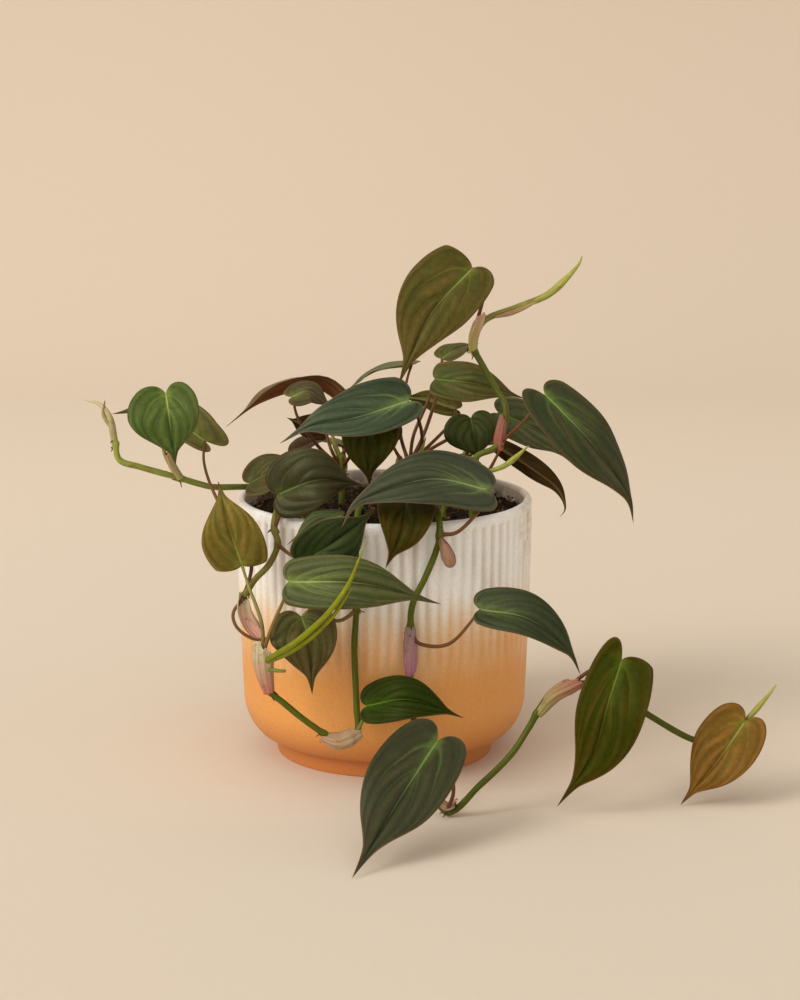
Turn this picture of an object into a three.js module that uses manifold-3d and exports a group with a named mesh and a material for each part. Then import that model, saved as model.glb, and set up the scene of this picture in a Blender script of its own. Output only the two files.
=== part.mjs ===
// A potted micans philodendron: a ribbed, dip-glazed pot full of soil, and the vines, stalks and
// heart-shaped leaves that spill over its rim. Millimetres, +Z up. The origin is the middle of the
// pot's flat foot, and -Y is the front, the side down which the longest vine trails.
import * as THREE from 'three';
import { mergeVertices } from 'three/addons/utils/BufferGeometryUtils.js';
import Module from 'manifold-3d';

const wasm = await Module();
wasm.setup();

// Points closer than this are one point
const SAME_POINT = 1e-4;

// Driving dimensions of the pot
const POT_RADIUS = 75;
const POT_HEIGHT = 132.5;
const WALL = 4.4;
const FOOT_RADIUS = 55.5;
const FOOT_HEIGHT = 8.5;
const SHOULDER_RADIUS = 72.5;
const SHOULDER_HEIGHT = 31;
const SHOULDER_ROWS = 3;
const FLOOR_THICKNESS = 9;
const RIB_COUNT = 75;
const RIB_RELIEF = 0.9;
const RIB_BOTTOM = 56;
const RIB_TOP = 127;
const RIB_FADE = 10;
const FOOT_EDGE = 0.8;

// Driving dimensions of the soil
const SOIL_LEVEL = 123;
const SOIL_MOUND = 3;
const SOIL_LUMPS = 0.8;
const LUMP_WAVES = [0.9, 0.7];
const SOIL_SIDES = 30;
const SOIL_RINGS = 3;
const HOLE_SIDES = 8;
const ROOT_DEPTH = 9;

// Driving dimensions of the plant
const CLEARANCE = 0.35;
const BLADE = 0.7;
const ROWS_PER_ARC = [2, 2, 3, 1];
const COLUMNS = 2;
const STEM_RADIUS = 1.7;
const STALK_RADIUS = 0.9;
const STALK_END = 0.6;
const STEM_SIDES = 6;
const STALK_SIDES = 4;
const STEM_STEP = 10;

// Finishes of the pot, the soil, the vines and the five tones of leaf
const POT_FINISH = { color: 0xe9dfd0, roughness: 0.4 };
const SOIL_FINISH = { color: 0x2b211c, roughness: 0.95 };
const VINE_FINISH = { color: 0x6f7f3a, roughness: 0.5 };
const LEAF_FINISHES = {
  olive: { color: 0x5c5a30, roughness: 0.6 },
  dark: { color: 0x39402c, roughness: 0.6 },
  grey_green: { color: 0x4a5a4c, roughness: 0.65 },
  green: { color: 0x3f5a28, roughness: 0.55 },
  bronze: { color: 0x7a5a32, roughness: 0.6 },
};

// Half of a leaf's outline, from the notch where the stalk joins, round the lobe and out to the
// drip tip, as four Bezier arcs. The first number runs along the midrib in leaf lengths and the
// second across it in half widths.
const OUTLINE = [
  [[0, 0], [-0.04, 0.05], [-0.12, 0.12], [-0.13, 0.36]],
  [[-0.13, 0.36], [-0.14, 0.72], [0.06, 1], [0.31, 1]],
  [[0.31, 1], [0.54, 1], [0.72, 0.52], [0.88, 0.12]],
  [[0.88, 0.12], [0.92, 0.05], [0.96, 0.02], [1, 0]],
];
const ARC_ENDS = [0, 0.14, 0.34, 0.82, 1];
const RIB_POWER = 1.35;

// The vines: where each is rooted in the soil, the route of its stem, and its sheaths, buds and
// shoots as tapered limbs with their radii from root to tip
const VINES = {
  crown: {
    root: [30, -24],
    stem: [
      [36, -25, 143], [46, -22, 156], [57, -16, 161], [61, -12, 178], [55, -8, 190], [44, -6, 209],
    ],
    growths: [
      { route: [[57, -16, 159], [58, -15, 168], [60, -13, 178]], radii: [2, 2.9, 2, 0.9] },
      { route: [[44, -6, 207], [45, -7, 216], [49, -8, 227]], radii: [1.6, 2.6, 2, 1] },
      {
        route: [
          [44, -6, 209], [50, -6, 222], [66, -8, 229], [82, -10, 236], [95, -12, 249], [98, -12, 255],
        ],
        radii: [1.6, 1.6, 1.6, 1.9, 0.3],
      },
      { route: [[58, -8, 224], [68, -9, 226], [78, -10, 231]], radii: [0.6, 1.6, 0.5] },
    ],
  },
  front: {
    root: [24, -44],
    stem: [
      [25, -58, 138], [26, -71, 138.5], [27, -77, 129], [25, -76, 119], [20, -77, 107], [14, -78, 94],
      [13, -78, 81], [13, -80, 56], [14, -85, 42], [20, -98, 22], [30, -115, 2.6], [46, -112, 15],
      [60, -108, 28], [69, -105, 41], [74, -104, 50], [81, -102, 58], [95, -100, 61], [110, -98, 56],
      [127, -96, 44], [147, -94, 32], [162, -90, 28],
    ],
    growths: [
      { route: [[27, -78, 127], [30, -80, 121], [33, -80, 114]], radii: [1.4, 2.8, 2.2] },
      { route: [[13, -78, 82], [13, -81, 72], [13, -82, 60]], radii: [1.8, 3.2, 2.8, 1.4] },
      { route: [[73, -104, 48], [82, -103, 57], [95, -101, 63]], radii: [1.9, 3.2, 2.6, 1.2] },
      {
        route: [[160, -90, 28], [172, -88, 37], [183, -88, 50], [188, -88, 57]],
        radii: [1.6, 1.4, 1.4, 0.3],
      },
    ],
  },
  left_front: {
    root: [-40, -32],
    stem: [
      [-46, -44, 138], [-51, -54, 137], [-53, -61, 129], [-51, -66, 121], [-55, -70, 112],
      [-62, -74, 105], [-67, -76, 97],
    ],
    growths: [
      { route: [[-67, -76, 98], [-65, -79, 88], [-58, -82, 78]], radii: [1.7, 2.7, 2.2, 1] },
      {
        route: [[-67, -76, 97], [-72, -78, 90], [-70, -80, 83], [-62, -80, 77.5], [-53, -79, 78]],
        radii: [0.8, 0.8],
      },
    ],
  },
  far_left: {
    root: [-46, -6],
    stem: [
      [-56, -12, 139], [-70, -18, 140], [-84, -24, 141], [-91, -27, 143], [-102, -30, 147],
      [-120, -34, 153], [-130, -36, 157], [-132, -36, 167],
    ],
    growths: [
      {
        route: [[-132, -36, 165], [-134, -38, 178], [-139, -38, 185], [-146, -38, 187]],
        radii: [1.7, 1.8, 1.3, 0.3],
      },
      { route: [[-102, -30, 147], [-106, -33, 154], [-108, -35, 162]], radii: [1.6, 2.2, 1.2] },
    ],
  },
  loop: {
    root: [-10, -46],
    stem: [
      [-11, -60, 138], [-12, -71, 138.5], [-13, -77, 130], [-13, -78, 112], [-13, -78, 91],
      [-14, -78, 72], [-13, -80, 45], [-13, -84, 31], [-23, -88, 30], [-35, -90, 38], [-47, -90, 48],
      [-55, -90, 56], [-57, -90, 70],
    ],
    growths: [
      { route: [[-55, -90, 55], [-57, -90, 66], [-57, -90, 78]], radii: [2.2, 3.6, 3.6, 2] },
      {
        route: [
          [-57, -91, 69], [-52, -97, 73], [-39, -107, 83], [-25, -113, 97], [-15, -116, 112],
          [-10, -116, 124], [-7, -115, 133],
        ],
        radii: [1.8, 2.4, 2.2, 1.6, 0.3],
      },
      { route: [[-56, -91, 66], [-51, -95, 66], [-46, -96, 66]], radii: [1.5, 1, 0.7] },
      { route: [[-26, -88, 30], [-19, -87, 27], [-12, -84, 29]], radii: [0.8, 3.6, 3, 1.2] },
    ],
  },
  right: {
    root: [44, -18],
    stem: [[45, -19, 140], [49, -20, 147]],
    growths: [
      {
        route: [[47, -20, 143], [52, -21, 148], [61, -22, 152], [72, -24, 162]],
        radii: [1.5, 1.2, 1.6, 0.3],
      },
    ],
  },
  middle: {
    root: [12, 2],
    stem: [[12, 3, 140], [13, 4, 150]],
    growths: [
      { route: [[12, 3, 146], [18, -3, 154], [21, -5, 163]], radii: [1.4, 1.4, 0.3] },
    ],
  },
  back_left: {
    root: [-22, 8],
    stem: [[-22, 9, 140], [-22, 10, 152]],
    growths: [
      { route: [[-22, 10, 148], [-26, 12, 158], [-27, 13, 166]], radii: [1.4, 1.3, 0.3] },
    ],
  },
  back: {
    root: [6, 46],
    stem: [
      [7, 58, 138], [8, 70, 138.5], [9, 77, 130], [10, 80, 112], [4, 80, 88], [8, 82, 64], [4, 90, 44],
      [0, 100, 30],
    ],
    growths: [
      { route: [[2, 96, 36], [6, 106, 24], [14, 116, 18]], radii: [1.6, 1.7, 0.3] },
    ],
  },
  back_right: {
    root: [38, 30],
    stem: [[39, 31, 138], [42, 33, 148]],
    growths: [
      { route: [[40, 32, 144], [46, 36, 156], [48, 38, 164]], radii: [1.4, 1.3, 0.3] },
    ],
  },
};

// The leaves: the points of each midrib from notch to tip, the way the upper side faces, the width
// and the lobe's share of its full length for each of the two halves, how far the halves fold up
// along the midrib at the notch and at the tip, and the stalk's route from its vine to the notch
const LEAVES = {
  crown: {
    vine: 'crown', tone: 'olive', rib: [[43.5, -22, 250], [22.5, -36, 228], [7, -44, 195]],
    face: [0.1, -0.9, 0.35], half: [21, 16.5], lobe: [0.25, 0.5], fold: [0.08, 0.1],
    stalk: [[46, -7, 220], [50, -12, 240]],
  },
  right_large: {
    vine: 'crown', tone: 'dark',
    rib: [[80, -22, 187], [102, -34, 165], [120, -34, 140], [124, -32, 124]], face: [0.35, -0.75, 0.5],
    half: [19, 15], lobe: [0.8, 0.5], fold: [0.15, 0.1], stalk: [[58, -16, 162], [69, -20, 173]],
  },
  right_flat: {
    vine: 'middle', tone: 'dark', rib: [[26, 12, 190], [49, 6, 188], [72, 4, 181]],
    face: [0, -0.8, 0.5], half: [11.5, 11], lobe: [0.3, 0.35], fold: [0.1, 0.1],
    stalk: [[13, 5, 148], [15, 8, 162], [22, 12, 178]],
  },
  behind_crown: {
    vine: 'middle', tone: 'olive', rib: [[30, 40, 197], [38, 46, 201], [50, 54, 203]],
    face: [0, -0.3, 1], half: [8, 8], lobe: [0.4, 0.4], fold: [0.1, 0.1],
    stalk: [[13, 4, 148], [21, 10, 164], [28, 26, 184]],
  },
  back_edge: {
    vine: 'middle', tone: 'grey_green', rib: [[14, 38, 194], [-5, 42, 190], [-21, 40, 179]],
    face: [0, 0, 1], half: [11, 11], lobe: [0.8, 0.8], fold: [0.1, 0.1],
    stalk: [[12, 4, 149], [8, 14, 164], [11, 30, 184]],
  },
  long_folded: {
    vine: 'back_left', tone: 'bronze',
    rib: [[-21, 22, 176], [-37, 18, 185], [-63, 6, 179], [-81, -2, 167]], face: [0, 0.2, 1],
    half: [14, 14], lobe: [0.8, 0.8], fold: [0.3, 1], stalk: [[-22, 10, 150], [-16, 16, 164]],
  },
  back_small: {
    vine: 'back_left', tone: 'grey_green', rib: [[-46, -7, 184], [-37, -3, 186], [-25, -1, 176]],
    face: [0.1, -0.6, 0.8], half: [8, 8], lobe: [1, 1], fold: [-0.1, 0],
    stalk: [[-23, 9, 146], [-33, 4, 156], [-43, -5, 172]],
  },
  left_teal: {
    vine: 'middle', tone: 'grey_green',
    rib: [[12, -22, 184], [-14, -37, 178], [-35, -42, 175], [-51, -42, 166]], face: [0, -0.8, 0.6],
    half: [17, 13], lobe: [0.5, 0.6], fold: [0.12, 0.1],
    stalk: [[13, 3, 148], [19, -4, 160], [17, -12, 174]],
  },
  middle_hanging: {
    vine: 'back_left', tone: 'dark', rib: [[-6, -18, 178], [-8, -28, 160], [-7, -26, 141]],
    face: [0, -1, 0.2], half: [14, 15], lobe: [0.8, 0.8], fold: [0.1, 0.1],
    stalk: [[-21, 9, 146], [-12, -2, 160], [-7, -10, 174]],
  },
  left_dark: {
    vine: 'left_front', tone: 'dark', rib: [[-51, -58, 144], [-31, -63, 152], [-9, -56, 148]],
    face: [0, -0.9, 0.4], half: [15, 18], lobe: [0.6, 0.8], fold: [0.05, 0.05],
    stalk: [[-53, -62, 127], [-50, -61, 136]],
  },
  left_behind: {
    vine: 'far_left', tone: 'dark', rib: [[-66, -34, 145], [-52, -36, 152], [-36, -34, 150]],
    face: [0, -0.7, 0.7], half: [11, 11], lobe: [0.8, 0.8], fold: [0.1, 0.1],
    stalk: [[-58, -13, 139], [-63, -24, 141]],
  },
  left_olive: {
    vine: 'loop', tone: 'olive', rib: [[-68, -72, 112], [-74, -78, 134], [-79, -70, 153]],
    face: [-0.15, -1, 0.1], half: [15.5, 15.5], lobe: [0.3, 0.3], fold: [0.08, 0.1],
    stalk: [[-57, -90, 74], [-58, -88, 88], [-64, -81, 103]],
  },
  far_left_back: {
    vine: 'left_front', tone: 'green',
    rib: [[-89, -22, 164], [-103, -16, 172], [-120, -17, 178], [-135, -25, 178]], face: [0, -1, 0.4],
    half: [13, 7], lobe: [1.6, 0.8], fold: [0.1, 0.1],
    stalk: [[-67, -76, 97], [-64, -65, 112], [-74, -56, 128], [-84, -44, 144], [-89, -30, 155]],
  },
  heart: {
    vine: 'far_left', tone: 'green', rib: [[-106, -42, 191], [-103, -50, 174], [-101, -50, 157]],
    face: [-0.05, -1, 0.3], half: [20, 15.5], lobe: [1, 1], fold: [0.1, 0.1],
    stalk: [[-102, -30, 147], [-108, -34, 160], [-109, -35, 178]],
  },
  front_dark: {
    vine: 'left_front', tone: 'dark', rib: [[-37, -84, 117], [-21, -87, 128], [-3, -81, 142]],
    face: [0.1, -1, 0.2], half: [14, 13], lobe: [0.8, 0.8], fold: [0.1, 0.1],
    stalk: [[-51, -66, 121], [-45, -74, 118]],
  },
  front_grey: {
    vine: 'loop', tone: 'grey_green', rib: [[-44, -98, 110], [-8, -105, 110.5], [28, -98, 99]],
    face: [0, -0.9, 0.45], half: [14, 13], lobe: [0.3, 0.35], fold: [0.12, 0.1],
    stalk: [[-57, -91, 74], [-53, -93, 86], [-46, -96, 103]],
  },
  centre: {
    vine: 'front', tone: 'grey_green',
    rib: [[50, -62, 147], [22, -77, 155], [-10, -87, 147], [-20, -92, 134]], face: [0, -0.8, 0.6],
    half: [15, 15], lobe: [0.5, 0.4], fold: [0.12, 0.1],
    stalk: [[27, -77, 128], [36, -78, 130], [47, -70, 140]],
  },
  centre_hanging: {
    vine: 'front', tone: 'dark', rib: [[12, -66, 146], [9, -84, 132], [1, -84, 113]],
    face: [0, -1, 0.4], half: [14, 14], lobe: [0.7, 0.7], fold: [0.1, 0.2],
    stalk: [[24, -48, 132], [19, -56, 142]],
  },
  right_teal: {
    vine: 'front', tone: 'grey_green',
    rib: [[46, -100, 97], [68, -106, 94], [86, -108, 80], [93, -108, 67]], face: [0.2, -0.8, 0.6],
    half: [10, 13], lobe: [0.3, 0.6], fold: [0.15, 0.1],
    stalk: [[13, -78, 81], [18, -84, 76], [32, -93, 79]],
  },
  front_floor: {
    vine: 'front', tone: 'grey_green', rib: [[25, -140, 45], [8, -166, 26], [-13, -199, 0.8]],
    face: [0.1, -0.6, 0.8], half: [20.5, 18.5], lobe: [0.8, 0.6], fold: [0.1, 0.1],
    stalk: [[30, -115, 3], [33, -124, 16], [30, -135, 34]],
  },
  right_hanging: {
    vine: 'front', tone: 'dark',
    rib: [[112, -108, 75], [105, -117, 56], [98, -118, 31], [82, -114, 4.5]], face: [-0.1, -1, 0.2],
    half: [14, 18.5], lobe: [0.9, 0.3], fold: [0.1, 0.15], stalk: [[88, -101, 60], [98, -102, 68]],
  },
  right_bronze: {
    vine: 'front', tone: 'bronze', rib: [[173, -92, 40], [159, -101, 23], [142, -100, 0.8]],
    face: [-0.1, -0.85, 0.5], half: [16.5, 14.5], lobe: [0.8, 0.8], fold: [0.08, 0.1],
    stalk: [[160, -90, 28], [169, -89, 33]],
  },
  small_heart: {
    vine: 'loop', tone: 'dark', rib: [[-39, -84, 89.5], [-35, -91, 78], [-34, -88, 52]],
    face: [0, -1, 0.1], half: [18, 14.5], lobe: [1, 0.5], fold: [0.1, 0.2],
    stalk: [[-13, -78, 91], [-22, -82, 87], [-33, -83, 93]],
  },
  bright: {
    vine: 'loop', tone: 'green', rib: [[-8, -86, 46], [13, -93, 51], [39, -90, 41]],
    face: [0, -0.85, 0.55], half: [11, 12], lobe: [0.5, 0.5], fold: [0.1, 0.1],
    stalk: [[-13, -84, 32], [-10, -83, 38]],
  },
  inner_heart: {
    vine: 'middle', tone: 'dark', rib: [[44, 6, 171], [46, 3, 160], [48, 2, 149]], face: [0, -1, 0.2],
    half: [15.5, 13], lobe: [1, 1], fold: [0.25, 0.1],
    stalk: [[13, 4, 149], [26, 8, 156], [40, 10, 164]],
  },
  right_behind: {
    vine: 'back_right', tone: 'dark', rib: [[59, 22, 171], [83, 18, 160], [100, 14, 143]],
    face: [0.2, -0.8, 0.6], half: [13, 13], lobe: [0.7, 0.7], fold: [0.1, 0.1],
    stalk: [[42, 33, 147], [50, 30, 158]],
  },
  right_turned: {
    vine: 'right', tone: 'bronze', rib: [[59, -4, 157], [74, -8, 148], [88, -8, 137], [91, -10, 124]],
    face: [0.1, 0.9, 0.4], half: [6.5, 6.5], lobe: [0.7, 0.7], fold: [0.2, 0.2],
    stalk: [[46, -19, 141], [52, -12, 146]],
  },
  back_turned: {
    vine: 'middle', tone: 'olive', rib: [[37, 30, 172], [22, 32, 176], [6, 34, 178]],
    face: [0, 0.8, 0.6], half: [8, 8], lobe: [0.7, 0.7], fold: [0.1, 0.1],
    stalk: [[13, 4, 148], [25, 16, 157], [35, 26, 166]],
  },
  left_turned: {
    vine: 'back_left', tone: 'bronze', rib: [[-30, 15, 162], [-40, 13, 166], [-50, 8, 171]],
    face: [0, 0.85, 0.4], half: [8, 9], lobe: [0.8, 0.8], fold: [0.2, 0.2],
    stalk: [[-22, 9, 144], [-27, 8, 154]],
  },
  centre_behind: {
    vine: 'right', tone: 'olive', rib: [[44, -29, 156], [35, -36, 158], [22, -42, 155.5]],
    face: [0, -0.3, 1], half: [8, 8], lobe: [0.8, 0.8], fold: [-0.1, -0.1],
    stalk: [[46, -19, 141], [47, -27, 148]],
  },
  middle_small: {
    vine: 'middle', tone: 'dark', rib: [[3, 4, 160], [0, 6, 168], [-5, 7, 178]], face: [0, -1, 0.2],
    half: [8, 8], lobe: [0.7, 0.7], fold: [0.2, 0.1], stalk: [[12, 3, 146], [7, 5, 152]],
  },
  rim: {
    vine: 'loop', tone: 'grey_green', rib: [[-20, -64, 134.5], [-32, -76, 134], [-46, -82, 124]],
    face: [0, -0.5, 0.9], half: [7, 7], lobe: [0.8, 0.8], fold: [0.1, 0.1],
    stalk: [[-11, -55, 134], [-15, -58, 131], [-19, -63, 131.5]],
  },
  back_upper: {
    vine: 'back', tone: 'dark', rib: [[30, 88, 120], [38, 99, 104], [40, 99, 82]], face: [0.2, 1, 0.3],
    half: [16, 16], lobe: [0.8, 0.8], fold: [0.1, 0.1], stalk: [[10, 79, 112], [20, 84, 110]],
  },
  back_middle: {
    vine: 'back', tone: 'dark', rib: [[-18, 92, 96], [-28, 101, 80], [-36, 99, 58]],
    face: [-0.2, 1, 0.3], half: [16, 16], lobe: [0.8, 0.8], fold: [0.1, 0.1],
    stalk: [[4, 80, 88], [-8, 85, 88]],
  },
  back_lower: {
    vine: 'back', tone: 'dark', rib: [[26, 94, 66], [34, 102, 50], [36, 102, 28]], face: [0.1, 1, 0.3],
    half: [15, 15], lobe: [0.8, 0.8], fold: [0.1, 0.1], stalk: [[8, 82, 64], [17, 87, 60]],
  },
  back_floor: {
    vine: 'back', tone: 'green', rib: [[-12, 104, 36], [-22, 113, 22], [-35, 122, 1.2]],
    face: [-0.3, 0.6, 0.9], half: [14, 14], lobe: [0.8, 0.8], fold: [0.1, 0.1],
    stalk: [[2, 97, 34], [-5, 101, 32]],
  },
  back_left: {
    vine: 'back_left', tone: 'dark', rib: [[-22, 44, 150], [-38, 58, 150], [-58, 72, 134]],
    face: [-0.3, 0.5, 0.9], half: [14, 14], lobe: [0.8, 0.8], fold: [0.1, 0.1],
    stalk: [[-22, 9, 142], [-20, 24, 142]],
  },
  back_right: {
    vine: 'back_right', tone: 'dark', rib: [[52, 44, 152], [66, 58, 156], [80, 70, 144]],
    face: [0.4, 0.4, 0.9], half: [13, 13], lobe: [0.8, 0.8], fold: [0.1, 0.1],
    stalk: [[41, 33, 144], [46, 38, 147]],
  },
};

// Shapes as solids

// A closed three.js geometry as a solid that can be joined and cut
function solid(geometry) {
  geometry.deleteAttribute('normal');
  geometry.deleteAttribute('uv');
  const merged = mergeVertices(geometry, SAME_POINT);
  const vertProperties = new Float32Array(merged.attributes.position.array);
  const triVerts = new Uint32Array(merged.index.array);
  return new wasm.Manifold(new wasm.Mesh({ numProp: 3, vertProperties, triVerts }));
}

// A solid back as a three.js geometry
function geometryOf(body) {
  const mesh = body.getMesh();
  const geometry = new THREE.BufferGeometry();
  geometry.setAttribute('position', new THREE.BufferAttribute(new Float32Array(mesh.vertProperties), 3));
  geometry.setIndex(new THREE.BufferAttribute(new Uint32Array(mesh.triVerts), 1));
  geometry.computeVertexNormals();
  return geometry;
}

// The largest of the bodies that a cut leaves
function largest(body) {
  const bodies = body.decompose();
  return bodies.reduce((kept, next) => (next.volume() > kept.volume() ? next : kept));
}

function curveThrough(points) {
  const vectors = points.map((point) => new THREE.Vector3(...point));
  return new THREE.CatmullRomCurve3(vectors, false, 'catmullrom');
}

// The value at a share of the way along an evenly spread list
function spread(values, share) {
  const place = share * (values.length - 1);
  const first = Math.min(Math.floor(place), values.length - 2);
  return THREE.MathUtils.lerp(values[first], values[first + 1], place - first);
}

// A round, tapered limb: a turned profile bent along a curve
function limb(route, radii, sides) {
  const curve = curveThrough(route);
  const steps = Math.max(radii.length, Math.round(curve.getLength() / STEM_STEP));
  const frames = curve.computeFrenetFrames(steps);
  const profile = [new THREE.Vector2(0, 0)];
  for (let step = 0; step <= steps; step += 1) {
    profile.push(new THREE.Vector2(spread(radii, step / steps), step));
  }
  profile.push(new THREE.Vector2(0, steps));
  const turned = new THREE.LatheGeometry(profile, sides);
  const position = turned.attributes.position;
  for (let index = 0; index < position.count; index += 1) {
    const step = Math.round(position.getY(index));
    const point = curve.getPointAt(step / steps);
    point.addScaledVector(frames.normals[step], position.getX(index));
    point.addScaledVector(frames.binormals[step], -position.getZ(index));
    position.setXYZ(index, point.x, point.y, point.z);
  }
  return solid(turned);
}

// Leaves

// One point of a leaf's outline, at a share of the way from the notch to the tip
function outlineAt(share) {
  const arc = ARC_ENDS.findIndex((end) => share < end) - 1;
  const inArc = (share - ARC_ENDS[arc]) / (ARC_ENDS[arc + 1] - ARC_ENDS[arc]);
  const corners = OUTLINE[arc].map(([along, across]) => new THREE.Vector2(along, across));
  return new THREE.CubicBezierCurve(...corners).getPoint(inArc);
}

// The shares at which a leaf has its rows: none at the notch and the tip, which are single points
function rowShares() {
  const shares = [];
  ROWS_PER_ARC.forEach((rows, arc) => {
    for (let row = 1; row <= rows; row += 1) {
      shares.push(THREE.MathUtils.lerp(ARC_ENDS[arc], ARC_ENDS[arc + 1], row / rows));
    }
  });
  return shares.slice(0, -1);
}

// Bends flat leaf coordinates onto the midrib
function bladePoint(leaf, curve, along, across) {
  const share = THREE.MathUtils.clamp(along, 0, 1);
  const tangent = curve.getTangentAt(share);
  const face = new THREE.Vector3(...leaf.face);
  face.addScaledVector(tangent, -face.dot(tangent)).normalize();
  const side = new THREE.Vector3().crossVectors(face, tangent);
  const fold = THREE.MathUtils.lerp(leaf.fold[0], leaf.fold[1], share);
  const half = across < 0 ? 0 : 1;
  const reach = across * leaf.half[half] / Math.hypot(1, fold);
  const point = curve.getPointAt(share);
  point.addScaledVector(tangent, (along - share) * leaf.lobe[half] * curve.getLength());
  point.addScaledVector(side, reach);
  point.addScaledVector(face, fold * Math.abs(reach));
  return point;
}

// A blade as a thin solid: the same triangles on the upper and the lower side, and a rim between
function blade(leaf, thickness) {
  const curve = curveThrough(leaf.rib);
  const points = [bladePoint(leaf, curve, 0, 0)];
  const shares = rowShares();
  for (const share of shares) {
    const edge = outlineAt(share);
    const rib = share ** RIB_POWER;
    for (let column = -COLUMNS; column <= COLUMNS; column += 1) {
      const out = Math.abs(column) / COLUMNS;
      const along = THREE.MathUtils.lerp(rib, edge.x, out);
      points.push(bladePoint(leaf, curve, along, Math.sign(column) * out * edge.y));
    }
  }
  points.push(bladePoint(leaf, curve, 1, 0));
  const wide = 2 * COLUMNS + 1;
  const tip = points.length - 1;
  const at = (row, column) => 1 + row * wide + column;
  const faces = [];
  for (let column = 0; column < wide - 1; column += 1) {
    faces.push([0, at(0, column), at(0, column + 1)]);
    faces.push([tip, at(shares.length - 1, column + 1), at(shares.length - 1, column)]);
    for (let row = 0; row < shares.length - 1; row += 1) {
      faces.push([at(row, column), at(row + 1, column), at(row + 1, column + 1)]);
      faces.push([at(row, column), at(row + 1, column + 1), at(row, column + 1)]);
    }
  }
  const rows = shares.map((share, row) => row);
  const left = rows.map((row) => at(row, 0));
  const right = rows.map((row) => at(row, wide - 1));
  const rim = [0, ...left, tip, ...right.reverse()];
  const sheet = new THREE.BufferGeometry().setFromPoints(points);
  sheet.setIndex(faces.flat());
  sheet.computeVertexNormals();
  const count = points.length;
  const shifted = [1, -1].flatMap((sign) => points.map((point, index) => {
    const normal = new THREE.Vector3().fromBufferAttribute(sheet.attributes.normal, index);
    return point.clone().addScaledVector(normal, sign * thickness / 2);
  }));
  const under = faces.map(([a, b, c]) => [a + count, c + count, b + count]);
  const wall = rim.flatMap((from, index) => {
    const to = rim[(index + 1) % rim.length];
    return [[from, to + count, to], [from, from + count, to + count]];
  });
  const body = new THREE.BufferGeometry().setFromPoints(shifted);
  body.setIndex([...faces, ...under, ...wall].flat());
  return solid(body);
}

// Vines

// The height of the soil at a place
function soilHeight(x, y) {
  const share = Math.hypot(x, y) / POT_RADIUS;
  return SOIL_LEVEL + SOIL_MOUND * (1 - share * share);
}

function vineRoute(vine) {
  const [x, y] = vine.root;
  const ground = soilHeight(x, y);
  const rooted = [[x, y, ground - ROOT_DEPTH], [x, y, ground], [x, y, ground + STEM_RADIUS * 3]];
  return [...rooted, ...vine.stem];
}

// A vine with all its stalks, sheaths and shoots, cut back a little from the blades it carries
function vineSolid(name) {
  const vine = VINES[name];
  let body = limb(vineRoute(vine), [STEM_RADIUS, STEM_RADIUS], STEM_SIDES);
  for (const growth of vine.growths) {
    body = body.add(limb(growth.route, growth.radii, STEM_SIDES));
  }
  const carried = Object.values(LEAVES).filter((leaf) => leaf.vine === name);
  for (const leaf of carried) {
    const route = [...leaf.stalk, leaf.rib[0]];
    body = body.add(limb(route, [STALK_RADIUS, STALK_RADIUS, STALK_END], STALK_SIDES));
  }
  for (const leaf of carried) {
    const wider = { ...leaf, half: leaf.half.map((width) => width + CLEARANCE) };
    const notch = new THREE.OctahedronGeometry(BLADE + CLEARANCE, 1).translate(...leaf.rib[0]);
    body = body.subtract(blade(wider, BLADE + 2 * CLEARANCE)).subtract(solid(notch));
  }
  return largest(body);
}

// The pot and the soil

const upright = (geometry) => geometry.rotateX(Math.PI / 2);

// The wall's outside below the ribs: a quarter ellipse from the shoulder in to the foot
function shoulder() {
  const points = [];
  for (let row = 0; row <= SHOULDER_ROWS; row += 1) {
    const angle = (row / SHOULDER_ROWS) * Math.PI / 2;
    const radius = FOOT_RADIUS + (SHOULDER_RADIUS - FOOT_RADIUS) * Math.sin(angle);
    const height = SHOULDER_HEIGHT - (SHOULDER_HEIGHT - FOOT_HEIGHT) * Math.cos(angle);
    points.push(new THREE.Vector2(radius, height));
  }
  return points;
}

// The wall's outside above the shoulder: it widens to the rim in a slight curve
function wallRadius(height) {
  const share = (height - SHOULDER_HEIGHT) / (RIB_TOP - SHOULDER_HEIGHT);
  return THREE.MathUtils.lerp(SHOULDER_RADIUS, POT_RADIUS, Math.sin(share * Math.PI / 2));
}

// The inside of the pot from the middle of its floor to just under the lip
function inside(inset) {
  const deep = WALL + inset;
  return [
    new THREE.Vector2(0, FLOOR_THICKNESS + inset),
    new THREE.Vector2(FOOT_RADIUS - deep, FLOOR_THICKNESS + inset),
    new THREE.Vector2(SHOULDER_RADIUS - deep, SHOULDER_HEIGHT + deep / 2),
  ];
}

// How strongly the ribs stand out at a height: they run out softly towards the base
function ribStrength(height) {
  const strength = THREE.MathUtils.smoothstep(height, RIB_BOTTOM, RIB_BOTTOM + RIB_FADE);
  return height > RIB_TOP + CLEARANCE ? 0 : strength;
}

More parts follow.
